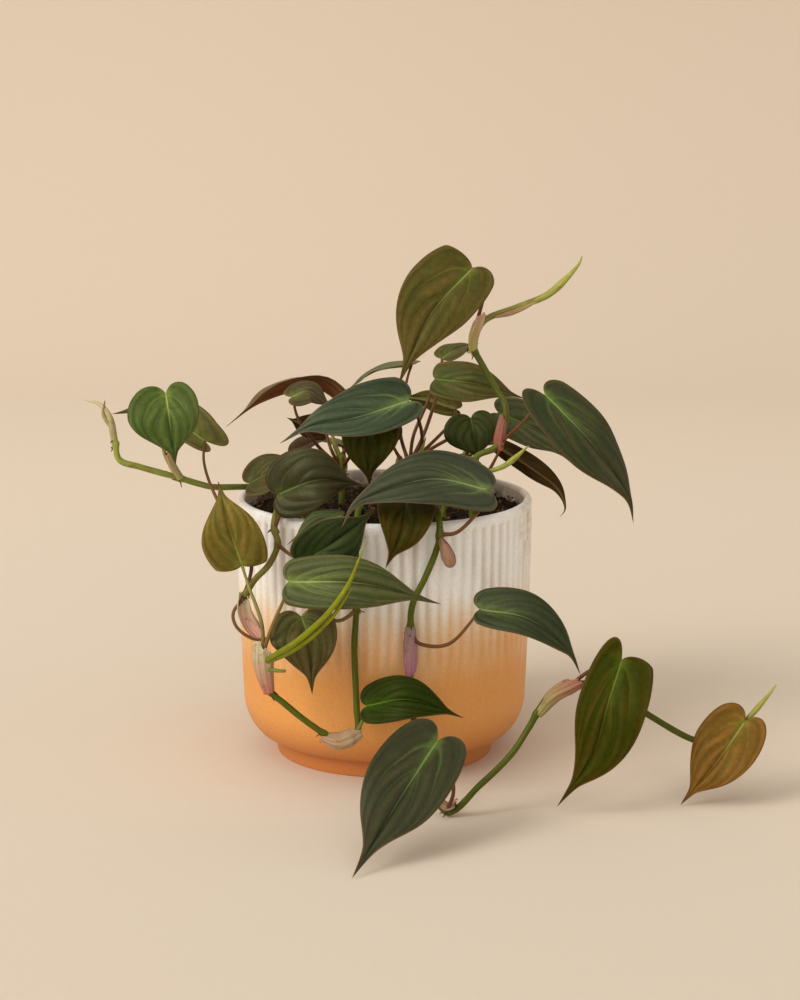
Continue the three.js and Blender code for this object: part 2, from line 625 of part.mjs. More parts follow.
function potSolid() {
  const lip = WALL / 2;
  const profile = [
    new THREE.Vector2(0, 0),
    new THREE.Vector2(FOOT_RADIUS - FOOT_EDGE, 0),
    new THREE.Vector2(FOOT_RADIUS, FOOT_EDGE),
    ...shoulder(),
    new THREE.Vector2(wallRadius(RIB_BOTTOM), RIB_BOTTOM),
    new THREE.Vector2(wallRadius(RIB_BOTTOM + RIB_FADE), RIB_BOTTOM + RIB_FADE),
    new THREE.Vector2(POT_RADIUS, RIB_TOP),
    new THREE.Vector2(POT_RADIUS, POT_HEIGHT - lip),
    new THREE.Vector2(POT_RADIUS - lip, POT_HEIGHT),
    new THREE.Vector2(POT_RADIUS - WALL, POT_HEIGHT - lip),
    ...inside(0).reverse(),
  ];
  const geometry = new THREE.LatheGeometry(profile, 2 * RIB_COUNT);
  const position = geometry.attributes.position;
  for (let index = 0; index < position.count; index += 1) {
    const [x, height, z] = [position.getX(index), position.getY(index), position.getZ(index)];
    const radius = Math.max(Math.hypot(x, z), FOOT_EDGE);
    const groove = Math.round(Math.atan2(x, z) / (Math.PI / RIB_COUNT)) % 2 !== 0;
    const depth = groove && radius > SHOULDER_RADIUS ? RIB_RELIEF * ribStrength(height) : 0;
    position.setXYZ(index, x * (1 - depth / radius), height, z * (1 - depth / radius));
  }
  return solid(upright(geometry));
}

function soilSolid() {
  const wall = inside(CLEARANCE);
  const edge = POT_RADIUS - WALL - CLEARANCE;
  const top = [];
  for (let ring = SOIL_RINGS; ring >= 0; ring -= 1) {
    const radius = edge * ring / SOIL_RINGS;
    top.push(new THREE.Vector2(radius, soilHeight(radius, 0)));
  }
  const geometry = upright(new THREE.LatheGeometry([...wall, ...top], SOIL_SIDES));
  const position = geometry.attributes.position;
  for (let index = 0; index < position.count; index += 1) {
    const [x, y, height] = [position.getX(index), position.getY(index), position.getZ(index)];
    const lump = Math.sin(x * LUMP_WAVES[0]) * Math.cos(y * LUMP_WAVES[1] + 1);
    const onTop = height > SOIL_LEVEL - CLEARANCE;
    position.setZ(index, onTop ? height + SOIL_LUMPS * lump : height);
  }
  let body = solid(geometry);
  for (const vine of Object.values(VINES)) {
    const [x, y] = vine.root;
    const deep = ROOT_DEPTH + CLEARANCE;
    const wide = STEM_RADIUS + 2 * CLEARANCE;
    const hole = upright(new THREE.CylinderGeometry(wide, wide, 2 * deep, HOLE_SIDES));
    hole.translate(x, y, soilHeight(x, y));
    body = body.subtract(solid(hole));
  }
  return body;
}

// The whole plant, one mesh for each piece

const group = new THREE.Group();

function addPiece(name, body, finish) {
  const material = new THREE.MeshStandardMaterial({ ...finish, metalness: 0 });
  const mesh = new THREE.Mesh(geometryOf(body), material);
  mesh.name = name;
  group.add(mesh);
}

addPiece('pot', potSolid(), POT_FINISH);
addPiece('soil', soilSolid(), SOIL_FINISH);
for (const name of Object.keys(VINES)) {
  addPiece(`vine_${name}`, vineSolid(name), VINE_FINISH);
}
for (const [name, leaf] of Object.entries(LEAVES)) {
  addPiece(`leaf_${name}`, blade(leaf, BLADE), LEAF_FINISHES[leaf.tone]);
}

export default group;
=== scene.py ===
"""A potted micans philodendron: a ribbed, dip-glazed pot full of soil, and the vines, leaf stalks
and velvety heart-shaped leaves that spill over its rim. Sizes in the tables are in millimetres."""

import math
from collections import namedtuple

import bmesh
import bpy
import numpy as np
from bpy.props import FloatProperty, FloatVectorProperty, IntProperty, PointerProperty
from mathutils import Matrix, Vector, noise


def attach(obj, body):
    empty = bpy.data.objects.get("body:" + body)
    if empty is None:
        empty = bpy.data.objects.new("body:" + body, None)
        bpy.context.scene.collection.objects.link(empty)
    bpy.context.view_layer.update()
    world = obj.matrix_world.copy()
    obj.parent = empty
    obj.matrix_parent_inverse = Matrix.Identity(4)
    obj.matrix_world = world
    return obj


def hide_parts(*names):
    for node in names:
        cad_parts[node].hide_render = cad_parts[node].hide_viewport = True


bl_info = {
    "name": "Potted micans philodendron",
    "version": (1, 0, 0),
    "blender": (4, 5, 0),
    "location": "3D View > Sidebar > Philodendron",
    "description": "Makes a potted trailing philodendron and a plain studio for it",
    "category": "Object",
}

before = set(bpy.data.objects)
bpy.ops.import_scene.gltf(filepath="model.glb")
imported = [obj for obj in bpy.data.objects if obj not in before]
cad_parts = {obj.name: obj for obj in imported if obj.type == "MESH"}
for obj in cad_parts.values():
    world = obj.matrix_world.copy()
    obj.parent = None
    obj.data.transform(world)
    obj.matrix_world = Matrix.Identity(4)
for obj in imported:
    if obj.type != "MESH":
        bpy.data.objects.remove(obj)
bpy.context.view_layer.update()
MM = 0.001
MERGE_GAP = 0.002
TINY = 1e-6
NODE_WIDTH = 220
NODE_HEIGHT = 260
NODES_PER_ROW = 8
PATH_STEPS = 201

# The pot's form, its arcs as first and last angle in degrees and count of points
POT_RADIUS = 75
POT_HEIGHT = 132.5
WALL = 4.4
FOOT_RADIUS = 55.5
FOOT_HEIGHT = 8.5
FOOT_EDGE = 0.8
FOOT_RINGS = (0, 18, 36, 50, 54)
FOOT_STEPS = (3, 5.6, 7.6)
SHOULDER_RADIUS = 72.5
SHOULDER_HEIGHT = 31
WALL_START = 35
WALL_ROWS = 34
LIP_STEPS = (0.8, 2.2)
FLOOR_THICKNESS = 9
FLOOR_RING = 30
FOOT_ARC = (-80, -10, 5)
BOWL_ARC = (-90, 0, 16)
LIP_ARC = (0, 180, 13)
INNER_STEPS = (0.12, 1, 7)
GROOVE_INSET = 0.5
RIB_COUNT = 75
RIB_RELIEF = 0.9
RIB_SHARPNESS = 1.7
RIB_BOTTOM = 56
RIB_TOP = 127
RIB_FADE = 10
RIB_END_BELOW = 0.4
RIB_END_ABOVE = 1.2
COLUMNS_PER_RIB = 8

# The soil's form, its lumps as height, scale and plane of the noise, and the loose bits on it as
# form, share of the largest crumb's size and seed
SOIL_LEVEL = 123
SOIL_MOUND = 3
SOIL_GAP = 0.35
SOIL_RINGS = 44
SOIL_SIDES = 160
SOIL_LUMPS = ((1.3, 0.11, 3), (0.8, 0.34, 9))
LUMP_HEIGHT = 1.3
ROOT_DEPTH = 9
ROOT_RISE = 3
WALL_STRIP = ((0.5, -0.5), (0.4, 4))
WALL_CRUMBS = 160
CRUMBS = {
    "soil_crumbs": ((1, 0.85, 0.7), 1, 11),
    "bark_chips": ((1, 0.6, 0.32), 1.7, 5),
    "wall_crumbs": ((1, 0.8, 0.6), 0.7, 8),
}
SMALLEST_CRUMB = 0.35
CRUMB_ROUGHNESS = 0.9
CRUMB_NOISE = 700.0
FULL_TURN = 6.28
SOIL_COLOURS = (
    ("Potting soil", "30261a", "0e0905"),
    ("Soil crumbs", "523e26", "120c06"),
    ("Bark chips", "8a6238", "36220f"),
)

# The plant's form
BLADE = 0.5
LEAF_ROWS = 64
LEAF_COLUMNS = 20
COLUMN_BUNCHING = 1.25
RIB_POWER = 1.35
DRAWN = 0.04
USUAL_LOBE = (0.8, 0.8)
USUAL_FOLD = (0.1, 0.1)
STEM_RADIUS = 1.55
STALK_RADIUS = 0.9
STALK_END = 0.6
COLLAR_SHARE = 0.8
COLLAR_LENGTH = 3.2
STALK_FLARE = 1.05
JOINT_RISE = 0.22
JOINT_LENGTH = 1.6
KNUCKLE_RISE = 0.26
KNUCKLE_LENGTH = 1.7
KNUCKLE_MOST = 0.34
NECK_DEPTH = 0.06
NECK_PLACE = 3.4
NECK_LENGTH = 0.6
UNEVENNESS = 0.02
UNEVEN_RATE = 0.37
FIRST_NODE = 4
CAP_RINGS = (0.08, 0.35, 0.7, 1.0)
CAP_CLEARANCE = 1.6
ROLL_AXIS = (0.31, 0.87, 0.38)
RIDGE_HEIGHT = 0.09
FRILLS = 3
FRILL_TURN = 0.6
FRILL_POWER = 3
TINT_RADIUS = 2

# A sheath's skin, its ragged slanting end and its folds, a pair of shoots and an air root
SHEATH_SKIN = 0.35
SHEATH_ROWS = 26
SHEATH_COLUMNS = 34
SHEATH_SHORT = 0.7
SHEATH_SLANT = 1.5
SHEATH_FOLD = 0.06
SHEATH_FOLDS = 9
SHEATH_FLARE = 0.1
COARSE_RAGS = (0.035, 5)
FINE_RAGS = (0.02, 11)
USUAL_SPLIT = 40
SHOOT_GAP = 1.7
SHOOT_LEAN = (0.5, 0.5, -0.7)
SHOOT_SLIMNESS = 0.66
SHOOT_PARTING = 2.5
ROOT_NUMBER = (1, 4)
ROOT_LENGTH = (2.6, 5.0)
ROOT_DROOP = 0.7
ROOT_WANDER = 0.3
ROOT_SAG = 0.6
ROOT_LOWEST = 0.6
ROOT_RADII = (0.5, 0.36, 0.16)
ROOT_COLOURS = ("4a2c18", "2c1a10")

# How the limbs are swept
SHOOT_SWEEP = {"kind": "stem", "sides": 12, "step": 1.2}
STEM_SWEEP = {"kind": "stem", "sides": 16, "step": 1.2}
STALK_SWEEP = {"kind": "stem", "sides": 12, "step": 1.5}
ROOT_SWEEP = {"kind": "root", "sides": 6, "step": 0.8}
POUCH_SWEEP = {"kind": "sheath", "sides": 22, "step": 0.9, "flat": 0.82, "ridges": 9, "frill": 0.1}

# Half of a leaf's outline, from the notch where the stalk joins, round the lobe and out to the
# drip tip, as four Bezier arcs. The first number runs along the midrib in leaf lengths and the
# second across it in half widths.
OUTLINE = (
    ((0, 0), (-0.04, 0.05), (-0.12, 0.12), (-0.13, 0.36)),
    ((-0.13, 0.36), (-0.14, 0.72), (0.06, 1), (0.31, 1)),
    ((0.31, 1), (0.59, 1), (0.72, 0.36), (0.83, 0.15)),
    ((0.83, 0.15), (0.87, 0.08), (0.94, 0.045), (1, 0)),
)
ARC_ENDS = (0, 0.14, 0.34, 0.82, 1)

# How a blade is quilted: the share of the midrib where each vein pair leaves it, how far out
# it then runs in half widths, how quickly it gets there, and how much each of these differs from
# vein to vein. Then how the blade swells, folds, waves and thins out, in millimetres or shares.
VEIN_STARTS = (0, 0.1, 0.32)
VEIN_BASES = (0.5, 0, 0)
VEIN_REACHES = (0.97, 0.93, 0.86)
VEIN_SPANS = (0.55, 0.62, 0.66)
VEIN_BEND = 1.4
VEINS = 3
MOST_REACH = 0.99
START_SPREAD = (0.7, 1.3)
REACH_SPREAD = (0.95, 1.03)
BASE_SPREAD = (0.9, 1.1)
STRENGTH_SPREAD = (0.65, 1.25)
NOTCH_SIDES = (1, 0.3, 0.5)
TIP_SIDES = (1, 0, 0.5)
MARGIN_PHASE = 0.15
CREASE = 0.8
QUILTED_GAP = 5
MOST_QUILTING = 1.3
LEAST_STRENGTH = 0.3
CROWN = 0.05
CHANNEL = 0.35
CHANNEL_WIDTH = 0.9
KEEL = 0.45
KEEL_WIDTH = 0.7
KEEL_POWER = 0.7
WAVES = 2.6
WAVE_HEIGHT = 0.7
WAVE_POWER = 3
WAVE_WIDTH = 15
MARGIN_WIDTH = 1.4
MARGIN_POWER = 0.6

# What the materials share: their noises as scale, detail and roughness, their soft steps as low,
# high, first and last (in millimetres, shares of a length or shares of a noise), their colours,
# and their reliefs as depth in metres and strength
NOISE = {
    "cloud": (1.6, 2, 0.5), "band": (3.1, 2, 0.5), "wander": (150, 2, 0.5),
    "fine": (420, 3, 0.6), "grain": (2600, 2, 0.6),
    "stem_streak": (1.4, 4, 0.6), "stem_blotch": (160, 3, 0.6),
    "sheath_stripe": (1.5, 3, 0.6), "sheath_blotch": (240, 4, 0.6), "root_fleck": (900, 3, 0.6),
    "glaze_streak": (260, 3, 0.6), "glaze_broad": (34, 3, 0.5), "glaze_speck": (900, 3, 0.6),
    "grime": (130, 4, 0.65), "soil_coarse": (300, 4, 0.65), "soil_fine": (1800, 3, 0.6),
    "paper": (300, 3, 0.6),
}
STEP = {
    "inside": (0.6, 0.9), "fade_along": (0.3, 0.95, 1.0, 0.1), "fade_edge": (1.5, 11.0),
    "mottle": (0.4, 0.62), "mottle_edge": (0.3, 5.0, 0.8, 0.0),
    # Painted shade in the leaves' quilting valleys and a painted highlight on their bulges
    "valley_painted_shade": (0.02, 0.26, 1.0, 0.0), "painted_shade_at_rib": (0.4, 3.2, 1.0, 0.0),
    "bulge_painted_highlight": (0.16, 0.5), "painted_highlight_cloud": (0.35, 0.6, 0.4, 1.0),
    "glow": (0.2, 4.2, 1.0, 0.0), "glow_along": (0.02, 0.62, 1.0, 0.0),
    "halo": (0.0, 1.5, 1.0, 0.0), "halo_along": (0.06, 0.5, 1.0, 0.1),
    "leaf_speck": (0.3, 0.7, 0.88, 1.12), "leaf_band": (0.3, 0.7, 0.9, 1.1),
    "vein": (0.05, 0.4, 1.0, 0.0), "net": (0.0, 0.12, 1.0, 0.0),
    "rib_width": (0.0, 0.7, 0.4, 0.05), "rib_along": (0.05, 0.75),
    "dust": (0.05, 0.12, 1.0, 0.0), "dust_speck": (0.52, 0.62),
    "rim": (0.1, 0.5, 0.6, 0.0), "tip": (0.86, 0.99), "under": (0.35, 0.65), "side": (0.2, 0.4),
    "stem_streak": (0.25, 0.75, 0.72, 1.28), "stem_blotch": (0.5, 0.72, 0.0, 0.5),
    "freckle": (0.05, 0.16, 1.0, 0.0), "root_fleck": (0.3, 0.7, 0.6, 1.5),
    "sheath_stripe": (0.32, 0.68, 0.74, 1.16), "sheath_blotch": (0.55, 0.72, 0.0, 0.55),
    "streak_shift": (0.25, 0.75, -3.0, 3.0), "broad_shift": (0.3, 0.7, -4.0, 4.0),
    "cream": (66.0, 92.0), "peach": (50.0, 72.0), "foot": (4.0, 34.0), "stain": (0.35, 0.65),
    "stain_in_groove": (0.35, 0.75, 0.12, 0.6), "warm": (74.0, 102.0, 0.55, 0.0),
    "smear": (0.5, 0.75), "smear_streak": (0.42, 0.68),
    "inner_reach": (71.2, 72.2, 1.0, 0.0), "inner_height": (100.0, 112.0),
    "smudge": (0.32, 0.58), "smudge_height": (122.0, 131.0, 0.95, 0.35),
    "worn_side": (62.0, 75.0), "worn_height": (88.0, 122.0), "worn": (0.38, 0.66, 0.1, 0.65),
    "dot": (0.06, 0.16, 1.0, 0.0), "dot_speck": (0.5, 0.62),
    "glaze_speck": (0.3, 0.7, 0.95, 1.05), "glaze_roughness": (40.0, 66.0, 0.62, 0.32),
    "soil_coarse": (0.35, 0.65), "soil_fibre": (0.62, 0.75, 0.0, 0.4),
    # Painted shade where the studio paper hangs, and painted light falling off from left to right
    # across it
    "paper_wall_painted_shade": (0.5, 2.0), "paper_light_from_left": (-0.5, 0.6, 1.03, 0.95),
    "paper_grain": (0.3, 0.7, 0.0, 0.02),
}
PAINT = {
    "dust": "a8ac94", "dry_tip": "3a2216", "stem_blotch": "6a3c22", "freckle": "b4a87c",
    "sheath_blotch": "6e3a28", "peach": "e8b884", "pale_stain": "c6b494", "dark_stain": "9a7e5c",
    "smear": "b89268", "warm": "ead2a6", "inner": "a88a5c", "smudge": "523a1c", "worn": "a88454",
    "dot": "6e4c30", "fibre": "7a5c38", "paper_grain": "a08868",
}
BUMP = {
    "leaf": (0.00018, 0.6), "stem": (0.00015, 0.5), "sheath": (0.0003, 0.8),
    "root": (0.0002, 0.6), "glaze": (0.00008, 0.4), "soil": (0.0006, 0.8),
}

# How strongly things are laid over a colour, how the places of noises are stretched, the sizes
# of cells, and tints. A pair is a fixed part and a part that grows with the veins or the satin.
GLOW = 0.55
HALO = 0.4
VEIN_LINE = 0.42
VEIN_UNDER = 0.6
NET = 0.06
DRY_TIP = 0.7
# How strongly painted shade is laid in the quilting's valleys and a painted highlight on its bulges
VALLEY_PAINTED_SHADE = (0.15, 0.4)
BULGE_PAINTED_HIGHLIGHT = (0.1, 0.26)
DUST = (0.1, 0.25)
RIB_BRIGHT = (0.3, 0.5)
RIB_FAINT = 0.1
RIB_SOFTNESS = 0.35
GLOSS = (0.08, 0.42)
GLOSS_BLUE = (0.3, 0.5)
SHEEN = 0.15
SHEEN_TINT = (0.75, 0.85, 0.55, 1)
GLOW_TINT = (0.62, 0.8, 0.3)
# How dark the painted shade in the valleys is, and how much lighter the painted highlight on the
# bulges is, as factor and added light
VALLEY_SHADE = 0.25
BULGE_HIGHLIGHT_FACTOR = (2.5, 0.012)
UNDER_SHADE = 0.75
GRAIN_RELIEF = 0.35
NET_RELIEF = -0.25
VEIN_RELIEF = -0.4
SPOT_RELIEF = 0.4
VEIN_WANDER = 0.16
NET_SCALE = 620
DUST_SCALE = 700
FRECKLE_SCALE = 0.9
FRECKLES = 0.35
LEAF_STRETCH = (0.6, 2.0, 0.03)
STEM_STRETCH = (1.2, 1.2, 0.12)
SHEATH_STRETCH = (2.6, 2.6, 0.05)
STREAK_STRETCH = (1, 1, 0.05)
BROAD_STRETCH = (1, 1, 0.35)
GROOVE_RUN = 6.0
SMEARS = 0.45
INNER_WALL = 0.6
DOTS = 0.6
DOT_SCALE = 420

# The studio: the floor's section in metres and its bend into the wall, the lights as name, way,
# spread in degrees and the setting of their strength, and the camera
FLOOR_LINE = (-6.0, -0.4, 0.6, 1.2)
FLOOR_HALF = 4.0
BEND_START = 1.2
BEND_RADIUS = 0.8
BEND_FIRST = 0.1
BEND_ROWS = 14
WALL_TOP = 2.6
LIGHT_COLOUR = (1.0, 0.97, 0.93)
LIGHTS = (
    ("key_light", (1.5, 1.1, -1.3), 28, "key"),
    ("broad_light", (0.35, 0.9, -0.85), 90, "broad"),
    ("side_light", (-1.0, 0.1, -0.1), 50, "side"),
)
LIGHT_DISTANCE = 1.5
CAMERA_PLACE = (0.008, -1.168, 0.362)
CAMERA_TILT = 11.25
CAMERA_LENS = 84.17
CAMERA_SENSOR = 36
CAMERA_NEAR = 0.01

# The colours of each blade: the field, its second tone, the veins, the midrib and the underside,
# then the strength of the second tone, of the veins and of the satin
Look = namedtuple("Look", "main patch vein rib under patches veins satin")
LOOKS = {
    "crown": ("484218", "644a20", "888840", "a3a862", "6b4a2a", 0.5, 0.5, 0.3),
    "right_large": ("272e13", "433417", "606e42", "8fa860", "6b4526", 0.6, 0.7, 0.6),
    "right_flat": ("3c441c", "664a1e", "606e36", "8c9858", "6b4526", 0.6, 0.5, 0.4),
    "behind_crown": ("4a4a20", "5c4a24", "7c8448", "9aa45e", "6b4a2a", 0.5, 0.5, 0.4),
    "back_edge": ("4b5636", "5a5a30", "84905f", "a2ac76", "6b4a2a", 0.4, 0.7, 0.4),
    "long_folded": ("6a5836", "7c6440", "9c8c5a", "8c7a48", "8e5a34", 0.5, 0.6, 0.4),
    "back_small": ("4c422a", "5a4624", "847c54", "a2ac76", "6b4a2a", 0.4, 0.7, 0.4),
    "left_teal": ("2e3c26", "3a3c1c", "7c8c66", "a2b080", "6b4526", 0.4, 1.2, 0.9),
    "middle_hanging": ("383a10", "463a10", "545c2a", "6a7444", "5c3a22", 0.5, 0.4, 0.05),
    "left_dark": ("26240c", "36280c", "4c522c", "7c8458", "5c3a22", 0.5, 0.5, 0.5),
    "left_behind": ("423e1e", "5c4220", "686a44", "7c8458", "5c3a22", 0.5, 0.5, 0.4),
    "left_olive": ("665a20", "806226", "8e9a48", "b0b468", "7c5a2a", 0.4, 0.55, 0.3),
    "far_left_back": ("565428", "7c6638", "98944c", "a8b060", "7c5a2a", 0.4, 0.6, 0.4),
    "heart": ("3e501e", "505624", "788446", "b0b870", "7c5a3a", 0.3, 0.8, 0.35),
    "front_dark": ("1c2a10", "282a0e", "42542a", "6a7a4c", "5c3a22", 0.4, 0.5, 0.3),
    "front_grey": ("3a4220", "4c4a1e", "7c8656", "a8b07c", "6b4526", 0.6, 1.0, 0.5),
    "centre": ("2c321c", "383416", "74805a", "a2b080", "7c4a30", 0.3, 1.15, 0.9),
    "centre_hanging": ("2c2a06", "4a3408", "484e20", "6a7444", "5c3a22", 0.5, 0.4, 0.03),
    "right_teal": ("222b13", "2c2911", "545c3a", "8a9468", "6b4526", 0.4, 0.8, 0.6),
    "front_floor": ("29290d", "35290b", "586440", "88985c", "6b4526", 0.4, 0.95, 0.8),
    "right_hanging": ("2e3403", "4c320a", "565e18", "7c8838", "6b4526", 0.5, 0.6, 0.05),
    "right_bronze": ("6e4e1a", "7e4e22", "988a3e", "b0aa62", "8a5a34", 0.4, 0.6, 0.2),
    "small_heart": ("424020", "5c4224", "868848", "8c9458", "6b4526", 0.6, 0.9, 0.3),
    "bright": ("1e2a02", "262a02", "4a6416", "6c9038", "5c5a2a", 0.3, 0.5, 0.1),
    "inner_heart": ("2e3612", "3c3a16", "546032", "6c7e48", "6b4526", 0.4, 0.35, 0.4),
    "right_behind": ("444a2e", "5c5030", "7c865a", "8a9a5c", "6b4526", 0.5, 0.8, 0.4),
    "right_turned": ("2c2a12", "3a2c14", "5a4428", "6c5030", "3c2a12", 0.5, 0.6, 0.3),
    "back_turned": ("525428", "62522a", "8a8650", "a09c5c", "8c8444", 0.5, 0.8, 0.4),
    "left_turned": ("3a3c1a", "463c1e", "7c6444", "8c744c", "5c4428", 0.5, 0.7, 0.4),
    "centre_behind": ("4a4a20", "5c4a24", "7c8448", "9aa45e", "6b4a2a", 0.5, 0.5, 0.4),
    "middle_small": ("25260c", "3a2e14", "4a5230", "6a7444", "5c3a22", 0.5, 0.4, 0.4),
    "rim": ("435030", "4a4a28", "76845c", "949e70", "6b4526", 0.4, 0.8, 0.4),
    "back_upper": ("333c1e", "4a4022", "66744a", "88945a", "6b4526", 0.6, 0.7, 0.4),
    "back_middle": ("39401f", "54451f", "66744a", "88945a", "6b4526", 0.6, 0.7, 0.4),
    "back_lower": ("2f371b", "443a1e", "5c6a42", "7c8850", "6b4526", 0.6, 0.7, 0.4),
    "back_floor": ("46541f", "5c5826", "7c8c4c", "9cab5e", "7c5a34", 0.5, 0.7, 0.4),
    "back_left": ("353b1c", "4f4120", "66744a", "88945a", "6b4526", 0.6, 0.7, 0.4),
    "back_right": ("323a1c", "483e20", "60704a", "80905a", "6b4526", 0.6, 0.7, 0.4),
}

# The colours of a stalk where it isn't the usual brown-red
STALK_COLOURS = {
    "heart": ("8c8c48", "a0a85a"),
    "small_heart": ("7c5a34", "8a7c44"),
    "left_olive": ("7c6a3a", "8c8c4a"),
    "bright": ("6e6c30", "7c8a44"),
    "front_grey": ("7c5a34", "8a7440"),
}
USUAL_STALK = ("603822", "704828")

# The vines: where each is rooted in the soil, its colours from root to tip and the route of its
# stem, then its sheaths, buds and shoots: each one's kind, colours, route and radii from root to
# tip, and for a sheath the turn and half the width of its split, in degrees
Vine = namedtuple("Vine", "root colours stem growths")
Growth = namedtuple("Growth", "kind colours route radii turn split", defaults=(0, USUAL_SPLIT))
VINES = {
    "crown": Vine((30, -24), ("70742a", "525c20"), ((36, -25, 143), (46, -22, 156), (57, -16, 161),
        (61, -12, 178), (55, -8, 190), (44, -6, 209)), (
        Growth("sheath", ("b4584c", "94684a"), ((57, -16, 158), (58, -15, 166), (60, -13, 176)),
            (2.2, 2.8, 2.4, 1.9), 240),
        Growth("sheath", ("a8a44c", "d8a888"), ((44.5, -6, 206), (45, -7, 215), (49.5, -8, 227)),
            (2.1, 2.5, 2.8, 2.0), 300),
        Growth("shoot", ("7c7a40", "a8a84c"), ((44, -6, 209), (50, -6, 222), (66, -8, 229),
            (82, -10, 236), (95, -12, 249), (98, -12, 255)), (1.6, 1.6, 1.6, 1.9, 0.3)),
        Growth("pouch", ("cc9878", "bca468"), ((55, -8.5, 224), (65, -9.5, 227), (76, -10.5, 232)),
            (0.5, 1.3, 1.1, 0.4)),
    )),
    "front": Vine((24, -44), ("525a12", "424c0a"), ((25, -58, 138), (26, -71, 138.5),
        (27, -77, 129), (25, -76, 119), (20, -77, 107), (14, -78, 94), (13, -78, 81), (13, -80, 56),
        (14, -85, 42), (20, -98, 22), (30, -115, 2.6), (46, -112, 15), (60, -108, 28),
        (69, -105, 41), (74, -104, 50), (81, -102, 58), (95, -100, 61), (110, -98, 56),
        (127, -96, 44), (147, -94, 32), (162, -90, 28)), (
        Growth("pouch", ("8c6244", "a47c60"), ((27, -78, 127), (30, -81, 121), (32.5, -81.5, 113)),
            (1.2, 2.7, 3.6, 2.6)),
        Growth("sheath", ("9c8070", "a8687c"), ((13, -78, 83), (13, -80.5, 72), (13, -82, 58)),
            (2.4, 3.5, 3.5, 2.2), 270),
        Growth("sheath", ("90904c", "b86c58"), ((73, -104, 47), (82, -102.5, 57), (96, -101, 64)),
            (2.2, 3.4, 4.2, 3.2), 300, 55),
        Growth("sheath", ("8c6248", "b08c74"), ((27, -112.5, 6), (31, -115, 4.5), (36, -115, 7)),
            (2.2, 2.8, 2.6), 150, 70),
        Growth("shoot", ("7c7838", "a0a048"), ((160, -90, 28), (172, -88, 37), (183, -88, 50),
            (188, -88, 57)), (1.6, 1.4, 1.4, 0.3)),
    )),
    "left_front": Vine((-40, -32), ("74722c", "70662c"), ((-46, -44, 138), (-51, -54, 137),
        (-53, -61, 129), (-51, -66, 121), (-55, -70, 112), (-62, -74, 105), (-67, -76, 97)), (
        Growth("sheath", ("d0d0a8", "dc9c8c"), ((-67.5, -76, 100), (-66, -79, 89), (-58, -82, 77)),
            (2, 3.3, 3.6, 2), 60, 60),
        Growth("twig", ("644428", "7c5430"), ((-67, -76, 97), (-72, -78, 90), (-70, -80, 83),
            (-62, -80, 77.5), (-53, -79, 78)), (0.8, 0.8)),
    )),
    "far_left": Vine((-46, -6), ("2c3c0c", "98a048"), ((-56, -12, 139), (-70, -18, 140),
        (-84, -24, 141), (-91, -27, 143), (-102, -30, 147), (-120, -34, 153), (-130, -36, 157),
        (-132, -36, 167)), (
        Growth("shoot", ("a09a5c", "dccaa4"), ((-132, -36, 165), (-134, -38, 178), (-139, -38, 185),
            (-146, -38, 187)), (1.7, 1.8, 1.3, 0.3)),
        Growth("shoot", ("c8bc88", "7c583c"), ((-134, -38, 174), (-137, -39, 180),
            (-136, -39, 187)), (1.0, 0.9, 0.2)),
        Growth("sheath", ("a8a860", "c4a078"), ((-101, -30, 146.5), (-105, -33, 154),
            (-108, -35, 163)), (2.1, 2.4, 2.6, 1.8), 30, 60),
    )),
    "loop": Vine((-10, -46), ("4e5810", "4e580c"), ((-11, -60, 138), (-12, -71, 138.5),
        (-13, -77, 130), (-13, -78, 112), (-13, -78, 91), (-14, -78, 72), (-13, -80, 45),
        (-13, -84, 31), (-23, -88, 30), (-35, -90, 38), (-47, -90, 48), (-55, -90, 56),
        (-57, -90, 70)), (
        Growth("sheath", ("c06c5c", "ccc89c"), ((-54.5, -90, 53.5), (-57, -90, 66),
            (-57.5, -90, 80)), (2.5, 4, 4.9, 4.4), 240),
        Growth("pair", ("6e7c10", "8e8c16"), ((-57, -91, 69), (-52, -97, 73), (-39, -107, 83),
            (-25, -113, 97), (-15, -116, 112), (-10, -116, 124), (-7, -115, 133)),
            (1.8, 2.4, 2.2, 1.6, 0.3)),
        Growth("bud", ("6c7834", "7c8838"), ((-56, -91, 66), (-51, -95, 66), (-46, -96, 66)),
            (1.5, 1, 0.7)),
        Growth("sheath", ("b48c68", "c0a47c"), ((-30, -88.5, 31.5), (-21, -87.5, 29),
            (-11, -83.5, 32)), (2.4, 4.4, 4.6, 2.8), 250, 80),
    )),
    "right": Vine((44, -18), ("6c7428", "6e7428"), ((45, -19, 140), (49, -20, 147)), (
        Growth("shoot", ("989b40", "a8a850"), ((47, -20, 143), (52, -21, 148), (61, -22, 152),
            (72, -24, 162)), (1.5, 1.2, 1.6, 0.3)),
    )),
    "middle": Vine((12, 2), ("5c6626", "6a7028"), ((12, 3, 140), (13, 4, 150)), (
        Growth("shoot", ("8c8c40", "a8a850"), ((12, 3, 146), (18, -3, 154), (21, -5, 163)),
            (1.4, 1.4, 0.3)),
    )),
    "back_left": Vine((-22, 8), ("5c6626", "6a7028"), ((-22, 9, 140), (-22, 10, 152)), (
        Growth("shoot", ("8c8c40", "a8a850"), ((-22, 10, 148), (-26, 12, 158), (-27, 13, 166)),
            (1.4, 1.3, 0.3)),
    )),
    "back": Vine((6, 46), ("4e641e", "4c5e18"), ((7, 58, 138), (8, 70, 138.5), (9, 77, 130),
        (10, 80, 112), (4, 80, 88), (8, 82, 64), (4, 90, 44), (0, 100, 30)), (
        Growth("shoot", ("8c8c40", "a8a850"), ((2, 96, 36), (6, 106, 24), (14, 116, 18)),
            (1.6, 1.7, 0.3)),
    )),
    "back_right": Vine((38, 30), ("5c6626", "6a7028"), ((39, 31, 138), (42, 33, 148)), (
        Growth("shoot", ("8c8c40", "a8a850"), ((40, 32, 144), (46, 36, 156), (48, 38, 164)),
            (1.4, 1.3, 0.3)),
    )),
}

